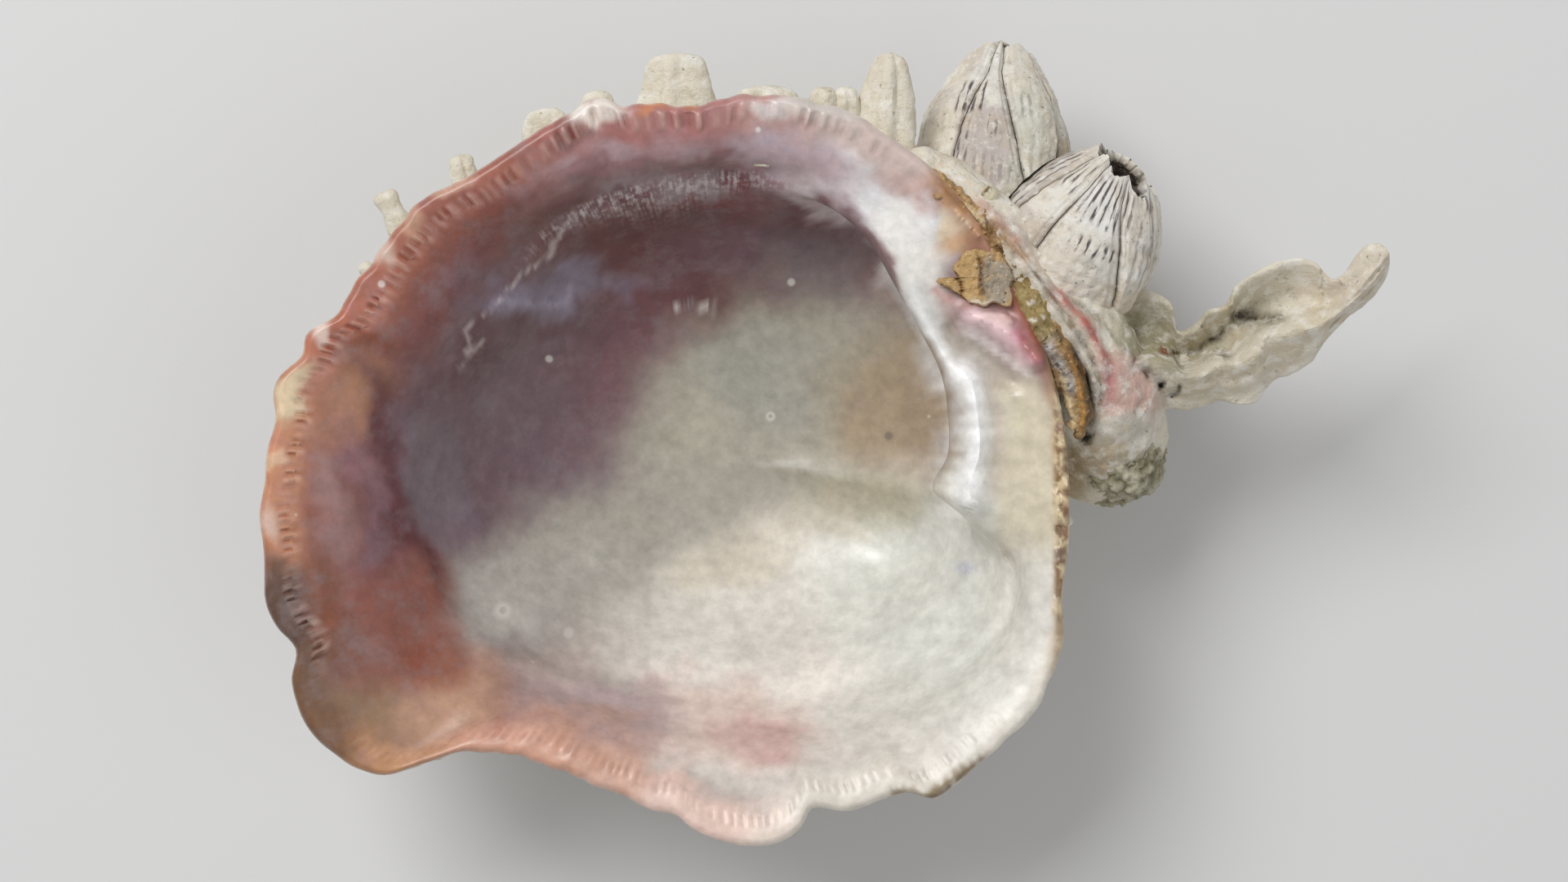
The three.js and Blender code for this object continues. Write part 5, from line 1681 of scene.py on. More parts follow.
@dataclass(frozen=True)
class Frond:
    """The long scale beyond the umbo: a trough between a thick ribbed side and a thin scalloped wall."""

    stations: tuple[tuple, ...] = FROND
    thickness: float = 2.3
    crest_at: float = 0.4
    trough_at: float = 0.66

    def build(self, name: str, around: int = 88, steps: int = 120) -> bpy.types.Object:
        """Wraps a grid round the trough's section, along its length.

        Args:
            name: The new object's name.
            around: Faces round the section.
            steps: Faces along the length.

        Returns:
            The closed solid.
        """
        piece = flat_grid(name, around, steps)
        turn, share = unit(piece)
        rows = np.array([(*low, *high, *heights) for low, high, heights in self.stations])
        position = (1.0 - (1.0 - share) ** 1.25) * (len(rows) - 1)
        row = spline(np.repeat(rows[:, None, :], len(share), axis=1), position)
        angle = turn * TURN
        across = 0.5 - 0.5 * np.cos(angle)
        ends = np.clip((1.0 - share) / 0.05, 0.0, 1.0)
        cap = (1.0 - (1.0 - ends) ** 2.4) ** (1.0 / 2.4) * np.clip(share / 0.02, 0.0, 1.0)
        knots = np.array([0.0, self.crest_at, self.trough_at, 1.0])
        i = np.clip(np.searchsorted(knots, across, side="right") - 1, 0, 2)
        t = smooth((across - knots[i]) / (knots[i + 1] - knots[i]))
        pick = np.arange(len(row))
        top = mix(row[pick, 5], mix(row[pick, 4 + i], row[pick, 5 + i], t), cap)
        thick = self.thickness * mix(1.25, 0.62, smooth(across * 1.3 - 0.3)) * cap
        side = np.sign(np.sin(angle)) * np.abs(np.sin(angle)) ** 0.5
        middle = mix(row[:, 0:2], row[:, 2:4], 0.5)
        plan = middle + (mix(row[:, 0:2], row[:, 2:4], across[:, None]) - middle) * cap[:, None]
        points = np.column_stack([plan, top - thick / 2 + side * thick / 2])
        upper = np.clip(np.sin(angle) * 2.0, 0.0, 1.0)
        shingle = (share * 9.0 + 1.6 * across + 0.3 * grain(points, 6.0, 2, 3.0)) % 1.0
        ledge = 0.5 * shingle**3 * smooth((across - 0.5) / 0.15) * smooth((0.86 - share) / 0.1)
        folds = 0.22 * np.sin(across * 34.0 + 5.0 * share + 1.4 * grain(points, 5.0, 2, 8.0))
        folds = folds * smooth((across - 0.05) / 0.1) * smooth((0.55 - across) / 0.1)
        folds = folds * smooth((1.0 - share) / 0.12)
        lumps = 0.5 * grain(points, 4.0, 4, 6.0) + 0.16 * grain(points, 1.2, 3, 9.0)
        carved = folds + ledge + lumps + sum(relief.rise(points) for relief in FROND_RELIEFS)
        points[:, 2] += cap * (upper * carved - (1.0 - upper) * 0.5 * np.abs(lumps))
        points[:, 1] += 0.25 * grain(points, 2.6, 3, 14.0) * np.abs(np.cos(angle)) ** 3 * cap
        write_points(piece, points)
        close_up(piece)
        return piece


@dataclass
class Valve:
    """The whole valve: bowl, umbo, spines and frond, grown as one piece."""

    form: ValveForm = field(default_factory=ValveForm)
    frond: Frond = Frond()
    umbo: Sweep = Sweep(
        (
            Station((24.0, 34.0, 26.5), 2.4), Station((29.6, 30.6, 27.0), 3.6),
            Station((35.2, 25.4, 26.6), 4.6),
            Station((39.4, 19.6, 25.8), 5.2), Station((43.4, 14.0, 24.4), 5.9),
            Station((46.2, 8.8, 21.6), 6.8),
            Station((46.4, 4.0, 17.4), 6.4), Station((43.0, 0.4, 13.0), 4.4),
        ),
        104, 150, 0.08, 2.0, (), 0.0, 5.0, 0.7, 4.0,
    )
    rim_spines: tuple[Spine, ...] = (
        Spine((-26.2, 22.8, 27.0), (-29.9, 30.5, 29.8), (3.8, 3.2, 2.7, 2.3, 3.1), 0.8, (0.1,), 1.0),
        Spine((-20.0, 26.8, 27.0), (-21.8, 34.4, 29.6), (4.2, 3.8, 3.2, 2.8, 2.6), 0.8, (-0.2,), 2.0),
        Spine((-11.8, 32.0, 26.6), (-12.9, 39.2, 30.2), (7.0, 6.4, 6.0, 5.2, 3.6), 0.42, (-0.3, 0.4), 3.0),
        Spine((-7.0, 34.0, 26.8), (-7.4, 41.0, 30.6), (6.4, 6.4, 5.6, 4.2, 2.6), 0.5, (), 4.0),
        Spine((1.1, 34.0, 25.4), (0.9, 45.1, 29.6), (12.0, 11.6, 10.2, 8.0, 6.6, 5.6), 0.36, (-0.2, 0.7),
              5.0),
        Spine((10.4, 34.6, 26.2), (10.6, 41.4, 30.2), (9.6, 9.6, 8.8, 7.4, 5.6), 0.45, (-0.5, 0.2), 6.0),
        Spine((16.4, 35.0, 25.6), (16.5, 41.5, 29.0), (4.0, 4.0, 3.8, 3.2, 2.4), 0.8, (0.5,), 7.0),
        Spine((18.8, 34.6, 25.6), (18.8, 41.6, 28.8), (3.6, 3.6, 3.4, 2.9, 2.2), 0.8, (-0.3, 0.6), 8.0),
        Spine((22.6, 31.4, 25.4), (23.6, 45.2, 29.0), (7.2, 7.0, 6.6, 6.0, 4.8, 3.0), 0.7, (0.55, -0.5), 9.0),
        Spine((-29.6, 19.8, 27.0), (-32.0, 22.8, 30.2), (2.6, 2.2, 1.8, 1.4), 0.8, (), 10.0),
    )

    rows: tuple[tuple[float, float, float], ...] = ((0.72, 4.2, 4.4), (0.46, 3.4, 4.6), (0.24, 2.0, 4.2))
    ribs: int = 12

    def row_spines(self) -> list[Spine]:
        """Worn spines in rows down the outside, a row to each main rib.

        Returns:
            The spines.
        """
        spines = []
        for level, (share, length, width) in enumerate(self.rows):
            for rib in range(self.ribs):
                seed = rib * 1.7 + level * 5.3
                theta = np.array([math.radians(78.0 + 22.6 * (rib + 0.2 * math.sin(seed * 3.1)))])
                level_share = np.array([share + 0.03 * math.sin(seed * 5.7)])
                foot = self.form.place(theta, self.form.outer(theta, level_share))[0]
                beyond = self.form.place(theta, self.form.outer(theta, level_share + 0.02))[0]
                slope = beyond - foot
                side = np.array([-math.sin(theta[0]), math.cos(theta[0]), 0.0])
                outward = np.cross(side, slope)
                outward /= np.linalg.norm(outward)
                reach = length * (1.0 + 0.3 * math.sin(seed * 2.3))
                tip = foot + outward * reach + np.array([0.0, 0.0, 0.9])
                wide = width * (1.0 + 0.15 * math.sin(seed * 4.1))
                widths = (wide * 1.25, wide, wide * 0.8, wide * 0.6)
                spines.append(Spine(tuple(foot - outward * 1.6), tuple(tip), widths, 0.7, (0.1,), seed))
        return spines

    def build(self) -> bpy.types.Object:
        """Grows the bowl, its umbo, spines and frond together.

        Returns:
            The valve as one closed mesh.
        """
        bowl = self.form.build()
        spines = [spine.build("spine") for spine in self.rim_spines]
        spines += [spine.build("spine", 14, 11) for spine in self.row_spines()]
        unite(bowl, join(spines))
        unite(bowl, self.umbo.build("umbo"))
        unite(bowl, self.frond.build("frond"))
        self.carve(bowl)
        LOG.info("valve grown: %d points", len(bowl.data.vertices))
        return bowl

    def carve(self, piece: bpy.types.Object) -> None:
        """Raises the ridges and cuts the grooves that run over the umbo.

        Args:
            piece: The grown valve.
        """
        points = read_points(piece) / MM
        facing = np.empty(len(points) * 3, dtype=np.float32)
        piece.data.vertices.foreach_get("normal", facing)
        upward = smooth((facing.reshape(-1, 3)[:, 2] - 0.15) / 0.4)
        near = (points[:, 0] > 30.0) & (points[:, 2] > 19.0) & (fetch(piece, "inside") < 0.5)
        cover = upward * near * smooth((points[:, 2] - 19.0) / 4.0)
        rise = sum(relief.rise(points) for relief in UMBO_RELIEFS)
        rise = rise + 0.3 * grain(points, 1.6, 4, 15.0) * smooth((58.0 - points[:, 0]) / 6.0)
        points[:, 2] += rise * cover
        write_points(piece, points)


# ---------------------------------------------------------------- what grows on it and binds it
class PlateKind(Enum):
    """The six plates of an acorn barnacle's wall, in their order round its axis."""

    ROSTRUM = ("rostrum", 0.24)
    LATERAL_LEFT = ("lateral_left", 0.2)
    CARINOLATERAL_LEFT = ("carinolateral_left", 0.1)
    CARINA = ("carina", 0.16)
    CARINOLATERAL_RIGHT = ("carinolateral_right", 0.1)
    LATERAL_RIGHT = ("lateral_right", 0.2)


@dataclass(frozen=True)
class Band:
    """A soft window on a barnacle's wall: degrees round its axis by shares of its height."""

    angle: float
    half: float
    low: float
    high: float
    strength: float = 1.0
    colour: str = "#6A646B"

    def share(self, degrees: Array, height: Array) -> Array:
        """How far each point of the wall lies inside the window, from 0 to 1.

        Args:
            degrees: Angles round the axis.
            height: Shares of the wall's height.

        Returns:
            One share for each point.
        """
        away = np.abs((degrees - self.angle + 180.0) % 360.0 - 180.0)
        sides = smooth((self.half - away) / (self.half * 0.35) + 0.5)
        shown = self.strength * sides * smooth((height - self.low) / 0.05)
        return shown * smooth((self.high - height) / 0.05)


@dataclass(frozen=True)
class Barnacle:
    """An acorn barnacle: six wall plates on a cemented base, leaning off the shell."""

    name: str
    base: tuple[float, float, float]
    azimuth: float
    elevation: float
    height: float
    base_radius: float
    mouth_radius: float
    bulge: float
    oval: float
    roll: float
    sutures: tuple[tuple[float, float], ...]
    peaks: tuple[float, ...]
    stripes: tuple[Band, ...]
    tones: tuple[Band, ...]
    seed: float
    thickness: float = 1.05
    foot: float = 0.012
    shoulder: float = 2.4
    room: float = 0.42

    def radius(self, share: Array, angle: Array) -> Array:
        """Outer radius of the wall in mm at each share of its height and angle.

        Args:
            share: Shares of the height, from 0 to 1.
            angle: Angles round the axis, in radians.

        Returns:
            Radii in mm.
        """
        taper = mix(self.base_radius, self.mouth_radius, np.clip(share, 0.0, None) ** self.shoulder)
        belly = self.bulge * self.base_radius * 0.4 * np.sin(math.pi * np.clip(share, 0.0, 1.0) ** 0.9)
        lobes = 1.0 + 0.03 * np.cos(6.0 * angle) * (1.0 - share)
        return (taper + belly) * lobes * (1.0 - (1.0 - self.oval) * np.sin(angle) ** 2)

    def turn(self) -> Array:
        """Rotation that leans the barnacle's axis over.

        Returns:
            The rotation, 3 by 3.
        """
        azimuth, elevation = math.radians(self.azimuth), math.radians(self.elevation)
        axis = Vector((math.cos(azimuth) * math.cos(elevation), math.sin(azimuth) * math.cos(elevation),
                       math.sin(elevation)))
        return np.array(Vector((0.0, 0.0, 1.0)).rotation_difference(axis).to_matrix())

    def world(self, radius: Array, angle: Array, share: Array) -> Array:
        """Places points of the barnacle in the shell's frame, in mm.

        Args:
            radius: Distances from the axis, in mm.
            angle: Angles round the axis, in radians.
            share: Shares of the height, from 0 to 1.

        Returns:
            Positions in mm, one row each.
        """
        local = np.column_stack([radius * np.cos(angle), radius * np.sin(angle), share * self.height])
        return local @ self.turn().T + np.array(self.base)

    def local(self, points: Array) -> tuple[Array, Array, Array]:
        """Radius in mm, angle and share of the height of points in the shell's frame.

        Args:
            points: Positions in mm, one row each.

        Returns:
            The radii, the angles and the shares.
        """
        back = (points - np.array(self.base)) @ self.turn()
        return np.hypot(back[:, 0], back[:, 1]), np.arctan2(back[:, 1], back[:, 0]), back[:, 2] / self.height

    def edges(self, index: int, share: Array) -> tuple[Array, Array]:
        """Angles of a plate's two sutures at each share of the height.

        Args:
            index: The plate's number round the axis.
            share: Shares of the height, from 0 to 1.

        Returns:
            The angles of the two sutures, in radians.
        """
        kinds = list(PlateKind)
        before = sum(kind.value[1] for kind in kinds[:index])
        angles = []
        for edge, start in ((index, before), (index + 1, before + kinds[index].value[1])):
            shift, slant = self.sutures[edge % len(kinds)]
            bend = shift + slant * (np.clip(share, 0.0, 0.82) - 0.4)
            angles.append(start * 2.0 * math.pi + self.roll + np.radians(bend))
        return angles[0], angles[1]

    def build_plate(self, index: int, kind: PlateKind) -> bpy.types.Object:
        """Models one wall plate, ribbed and worn, with rolled edges at its sutures.

        Args:
            index: The plate's number round the axis.
            kind: Which plate it is.

        Returns:
            The plate as a closed solid.
        """
        piece = flat_grid(f"{self.name}_{kind.value[0]}", 40 + int(150 * kind.value[1]), 110)
        across, up = unit(piece)
        tip = self.peaks[index] / self.height * (1.0 - np.abs(2.0 * across - 1.0) ** 1.6)
        ragged = 0.006 * np.sin(across * 11.0 + self.seed + index) + 0.003 * np.sin(across * 31.0 + self.seed)
        share = mix(self.foot, 1.0 + tip + ragged, up)
        first, last = self.edges(index, share)
        raw = mix(first, last, across)
        radius = self.radius(share, raw)
        width = (last - first) * radius
        gap = 0.05 / np.maximum(width, 1.0)
        angle = mix(first, last, mix(gap, 1.0 - gap, across))
        edge = np.minimum(across, 1.0 - across) * width
        points = self.world(radius, angle, share)
        ribs = 0.035 * np.cos(angle * 40.0 + 1.6 * grain(points, 5.0, 2, self.seed))
        ribs = ribs * smooth((0.9 - share) / 0.5)
        fold = np.abs(across - 0.5) - mix(0.46, 0.3, share)
        raised = 0.22 * smooth(-fold / 0.06)
        growth = 0.025 * np.sin(share * self.height * 5.2 + 1.5 * grain(points, 3.0, 2, self.seed + 4.0))
        worn = 0.45 * grain(points, 5.0, 3, self.seed + 1.0) + 0.12 * grain(points, 1.3, 4, self.seed + 2.0)
        rolled = -0.28 * (1.0 - smooth(edge / 0.5)) - 0.25 * (1.0 - smooth((1.0 - up) / 0.04))
        radius = radius + ribs + raised + growth + worn + rolled
        write_points(piece, self.world(radius, angle, share))
        only(piece)
        bpy.ops.object.mode_set(mode="EDIT")
        bpy.ops.mesh.select_all(action="SELECT")
        bpy.ops.mesh.normals_make_consistent(inside=False)
        bpy.ops.object.mode_set(mode="OBJECT")
        centre = self.world(np.zeros(1), np.zeros(1), np.full(1, 0.5))[0]
        face = piece.data.polygons[len(piece.data.polygons) // 2]
        outward = Vector(face.center) / MM - Vector(centre)
        if face.normal.dot(outward) < 0.0:
            piece.data.flip_normals()
        apply_modifier(piece, "SOLIDIFY", thickness=self.thickness * MM, offset=-1.0, use_even_offset=False)
        return piece

    def dress(self, piece: bpy.types.Object, index: int) -> None:
        """Stores what the wall's finish reads: tone with painted shade in the sutures and on the inner face,
        worn tubes and distances.

        Args:
            piece: The plate.
            index: The plate's number round the axis.
        """
        points = read_points(piece) / MM
        radius, angle, share = self.local(points)
        degrees = np.degrees(angle)
        blur = grain(points, 2.5, 3, self.seed + 7.0)
        colour = np.tile(np.array(linear("#E6E1D6")), (len(points), 1))
        for tone in self.tones:
            strength = tone.share(degrees + blur * 7.0, share + blur * 0.05)
            colour = mix(colour, np.array(linear(tone.colour)), strength[:, None])
        first, last = self.edges(index, share)
        warmth = smooth(0.5 + grain(points, 3.4, 4, self.seed + 13.0) * 1.5)[:, None] * 0.3
        colour = mix(colour, np.array(linear("#CDB797")), warmth)
        near_first = np.abs((angle - first + math.pi) % TURN - math.pi)
        near_last = np.abs((angle - last + math.pi) % TURN - math.pi)
        edge = np.minimum(near_first, near_last) * np.maximum(radius, 1.0)
        # painted shade in the sutures between plates, fading towards the top
        seam = (1.0 - smooth((edge - 0.05) / 0.3)) * 0.85 * (1.0 - 0.7 * smooth((share - 0.66) / 0.14))
        colour = mix(colour, np.array(linear("#776A5A")), seam[:, None])
        colour = mix(colour, np.array(linear("#948870")), ((1.0 - smooth(share / 0.1)) * 0.6)[:, None])
        # painted shade on the wall's inner face, inside the barnacle's hollow; the same mask keeps the tubes
        # off that face
        inner_face_shade = smooth((self.radius(share, angle) - 0.55 - radius) / 0.3)
        colour = mix(colour, np.array(linear("#6F6254")), inner_face_shade[:, None])
        store_colour(piece, "tint", colour)
        streak = sum(stripe.share(degrees, share + blur * 0.03) for stripe in self.stripes)
        store(piece, "streak", np.clip(streak, 0.0, 1.0) * (1.0 - inner_face_shade) * smooth(edge / 0.4))
        store(piece, "meridian", angle * 5.0)
        store(piece, "climb", share * self.height)

    def envelope(self, grow: float) -> bpy.types.Object:
        """The barnacle's whole outer form as one closed solid.

        Args:
            grow: How far it stands outside the wall, in mm.

        Returns:
            The solid.
        """
        piece = flat_grid("envelope", 90, 40)
        around, up = unit(piece)
        angle = around * TURN
        share = np.interp(up, (0.0, 0.1, 0.9, 1.0), (-0.08, -0.08, 1.04, 1.04))
        cap = smooth(np.minimum(up, 1.0 - up) / 0.1)
        write_points(piece, self.world((self.radius(share, angle) + grow) * cap, angle, share))
        close_up(piece)
        return piece

    def build_base(self) -> bpy.types.Object:
        """Models the limy plate that cements the barnacle down.

        Returns:
            The plate, closed.
        """
        piece = flat_grid(f"{self.name}_basis", 120, 36)
        around, up = unit(piece)
        angle = around * TURN
        reach = np.interp(up, (0.0, 0.42, 0.5, 0.58, 1.0), (0.0, 0.97, 1.0, 0.97, 0.0))
        level = np.interp(up, (0.0, 0.42, 0.58, 1.0), (-0.95, -0.95, 0.08, 0.08))
        radius = (self.radius(np.zeros_like(angle), angle) + 0.1 + 0.12 * np.sin(angle * 17.0)) * reach
        level = level + 0.06 * np.cos(angle * 36.0) * reach * (up > 0.5)
        write_points(piece, self.world(radius, angle, level / self.height))
        close_up(piece)
        points = read_points(piece) / MM
        store_colour(piece, "tint", np.tile(np.array(linear("#BDB39E")), (len(points), 1)))
        return piece

    def build(self, trim: "Barnacle | None" = None) -> None:
        """Builds, trims and places the base and the six plates.

        Args:
            trim: The barnacle that this one gives way to.
        """
        pieces = [self.build_base()]
        pieces += [self.build_plate(index, kind) for index, kind in enumerate(PlateKind)]
        if trim:
            cutter = trim.envelope(self.room)
            for piece in pieces:
                apply_modifier(piece, "BOOLEAN", operation="DIFFERENCE", solver="MANIFOLD", object=cutter)
            bpy.data.objects.remove(cutter, do_unlink=True)
        settle(pieces[0], f"{self.name}_basis", BARNACLE_BASE)
        for index, (kind, piece) in enumerate(zip(PlateKind, pieces[1:])):
            self.dress(piece, index)
            settle(piece, f"{self.name}_{kind.value[0]}", BARNACLE_WALL, 60.0)


@dataclass(frozen=True)
class Operculum:
    """A near-black plug that fills a dead barnacle's mouth, coloured as painted shade for the dark of its
    hollow.
    """

    owner: Barnacle
    share: float = 0.84
    lumps: float = 1.1

    def build(self) -> bpy.types.Object:
        """Models the lumpy plug inside the mouth.

        Returns:
            The finished mesh.
        """
        piece = flat_grid(f"{self.owner.name}_operculum", 110, 70)
        around, up = unit(piece)
        angle = around * TURN
        reach = np.interp(up, (0.0, 0.3, 0.38, 1.0), (0.0, 1.0, 1.0, 0.0))
        share = np.full_like(angle, self.share)
        rim = self.owner.radius(share, angle) - self.owner.thickness - 0.15
        depth = np.interp(up, (0.0, 0.3, 0.38, 1.0), (-0.9, -0.9, 0.0, -0.3))
        points = self.owner.world(rim * reach, angle, share)
        heap = self.lumps * np.abs(grain(points, 1.8, 3, 4.0)) + 0.25 * grain(points, 0.6, 3, 6.0)
        valves = 0.9 * np.exp(-((np.abs(np.sin(angle * 2.0 + 0.6)) / 0.35) ** 2))
        valves = valves * reach * (1.0 - reach) * 4.0
        level = depth + (heap + 0.6 * valves) * (up > 0.36) * smooth((1.02 - reach) / 0.2)
        write_points(piece, self.owner.world(rim * reach, angle, share + level / self.owner.height))
        close_up(piece)
        points = read_points(piece) / MM
        height = smooth(np.abs(grain(points, 1.8, 3, 4.0)) * 1.6)
        # painted shade: near-black in the plug's hollows, lighter brown on its lumps
        colour = mix(np.array(linear("#2B211A")), np.array(linear("#5E4D3A")), height[:, None])
        store_colour(piece, "tint", colour)
        return piece


LIGAMENT_STAINS = (
    Stroke([(27.0, 32.8), (30.6, 29.2), (33.0, 26.8)], 1.1, "#C9A26C", 0.85),
    Stroke([(28.0, 31.8), (31.0, 28.8), (33.0, 27.0)], 0.25, "#6E4722", 0.8),
    Stroke([(30.8, 29.2), (32.4, 27.8), (33.6, 26.8)], 0.35, "#E2CFA8", 0.8),
    Stain((35.6, 24.2), (1.4, 1.7), "#C9A772", -50.0, 0.8, 0.5),
    Stroke([(34.0, 24.9), (35.8, 23.8), (36.4, 21.8), (36.3, 19.6), (36.6, 17.8), (37.6, 16.4)], 0.4,
           "#64401E"),
    Stain((37.2, 21.7), (1.0, 0.9), "#7A6639", 0.0, 0.8, 0.5),
    Stain((38.2, 18.4), (1.6, 3.0), "#A8935F", 32.0, 1.0, 0.35),
    Stain((39.4, 16.0), (1.4, 1.3), "#9C8A5C", 0.0, 0.9, 0.4),
    Stain((38.2, 18.7), (0.4, 0.25), "#EFE8D8", 30.0, 0.95, 0.3),
    Stain((38.4, 16.9), (0.45, 0.2), "#EFE8D8", -20.0, 0.95, 0.3),
    Stain((39.4, 17.1), (0.2, 0.35), "#EFE8D8", 0.0, 0.9, 0.3),
    Stain((40.8, 15.2), (0.8, 0.5), "#6D5A38", -40.0, 0.9, 0.4),
    Stroke([(40.4, 11.8), (41.4, 9.8), (42.0, 7.8), (42.8, 6.0), (43.0, 4.4)], 0.6, "#C9A774", 0.85),
    Stroke([(39.5, 14.8), (40.6, 13.0), (41.6, 11.6), (42.3, 9.8), (42.9, 9.0)], 0.6, "#C0BCB6"),
    Stroke([(40.4, 13.0), (41.5, 11.4), (42.2, 9.9)], 0.16, "#2E2A28", 0.85, 0.8),
    Stroke([(42.5, 13.8), (43.2, 12.4), (43.9, 10.8), (44.4, 9.0), (44.3, 7.0), (44.1, 5.6)], 0.4, "#5B4528"),
    Stroke([(41.0, 11.4), (41.8, 9.4), (42.3, 7.4), (43.0, 5.6)], 0.35, "#E2CFA6", 0.8, 0.9),
    Stroke([(40.4, 12.4), (41.2, 10.4), (41.6, 8.0), (42.4, 6.0)], 0.2, "#6E4B25", 0.8, 0.9),
    Stroke([(41.8, 13.9), (42.6, 12.1), (43.2, 10.5), (43.6, 8.7), (43.8, 6.7), (43.7, 5.4)], 0.25,
           "#BF8A42"),
)
LIGAMENT_RELIEFS = (
    Relief([(39.5, 14.8), (40.6, 13.0), (41.6, 11.6), (42.3, 9.8), (42.9, 9.0)], 0.5, 0.45, 0.5),
    Relief([(41.8, 13.9), (42.6, 12.1), (43.2, 10.5), (43.6, 8.7), (43.8, 6.7)], 0.25, 0.7, 0.3),
    Relief([(42.7, 13.8), (43.4, 12.4), (44.1, 10.8), (44.5, 9.0), (44.4, 7.0)], 0.5, -1.3),
    Relief([(35.8, 23.8), (36.4, 21.8), (36.3, 19.6), (36.6, 17.8), (37.6, 16.4)], 0.35, -0.6, 0.4),
    Relief([(30.0, 29.6), (32.0, 27.8), (34.0, 26.0)], 0.3, 0.5, 0.5),
    Relief([(29.0, 30.2), (31.0, 28.2), (33.0, 26.4)], 0.25, -0.5, 0.5),
)


@dataclass(frozen=True)
class Ligament:
    """The dried hinge ligament: a flaking strip along the hinge line."""

    core: Sweep = Sweep(
        (
            Station((27.2, 32.8, 31.2), 0.6, 0.8), Station((30.2, 29.6, 31.1), 1.1, 0.7),
            Station((33.2, 26.6, 31.0), 1.4, 0.65), Station((36.2, 22.8, 30.8), 1.4, 0.7),
            Station((38.0, 19.2, 30.5), 1.9, 0.7), Station((39.8, 16.4, 30.3), 1.8, 0.75),
            Station((41.3, 13.2, 30.0), 1.6, 0.85), Station((42.7, 10.0, 29.8), 1.5, 0.9),
            Station((43.4, 7.2, 29.2), 1.2, 0.9), Station((43.4, 4.4, 28.2), 0.7, 0.9),
        ),
        60, 250, 0.05, 2.2, (), 0.0, 1.9, 0.55, 12.0,
    )
    scale_count: int = 18

    def scales(self) -> list[bpy.types.Object]:
        """Models the curled scales that lift off the strip.

        Returns:
            The scales.
        """
        middle = np.array([station.at for station in self.core.stations])
        pieces = []
        for i in range(self.scale_count):
            step = i / self.scale_count * (len(middle) - 1.2) + 0.1
            k = int(step)
            way = middle[k + 1] - middle[k]
            way /= np.linalg.norm(way)
            side = np.array([-way[1], way[0], 0.0])
            swing = math.sin(i * 4.7)
            at = mix(middle[k], middle[k + 1], step - k) + side * swing * 0.9 + np.array([0.0, 0.0, 0.75])
            reach = 0.8 + 0.35 * math.sin(i * 2.9)
            start = at - way * reach - np.array([0.0, 0.0, 0.35])
            end = at + way * reach * 0.8 + side * 0.4 * swing + np.array([0.0, 0.0, 0.35])
            wide = 0.45 + 0.2 * math.sin(i * 1.9)
            stations = (Station(tuple(start), wide * 0.7, 0.35), Station(tuple(at), wide, 0.3),
                        Station(tuple(end), wide * 0.8, 0.25))
            scale = Sweep(stations, 18, 14, 0.2, 2.6, (), 0.0, 1.0, 0.12, 30.0 + i)
            pieces.append(scale.build("ligament_scale"))
        return pieces

    def build(self) -> bpy.types.Object:
        """Models the strip with its layers and scales, and paints it.

        Returns:
            The finished mesh.
        """
        piece = self.core.build("ligament")
        points = read_points(piece) / MM
        across = np.cross(np.gradient(np.array([s.at[:2] for s in self.core.stations]), axis=0)[0] / 4.0,
                          points[:, :2] - np.array(self.core.stations[0].at[:2]))
        layers = (across * 0.9 + 0.9 * grain(points, 3.0, 3, 2.0)) % 1.0
        top = smooth((points[:, 2] - 30.4) / 0.8)
        points[:, 2] += top * (0.4 * layers**2.5 + 0.12 * grain(points, 0.6, 3, 5.0))
        points[:, 2] += top * sum(relief.rise(points) for relief in LIGAMENT_RELIEFS)
        write_points(piece, points)
        unite(piece, join(self.scales()))
        points = read_points(piece) / MM
        drift = np.stack([grain(points, 1.6, 3, 3.0), grain(points, 1.6, 3, 8.0), np.zeros(len(points))], 1)
        store_colour(piece, "tint", stained(points + drift * 0.25, "#99764A", LIGAMENT_STAINS))
        return piece


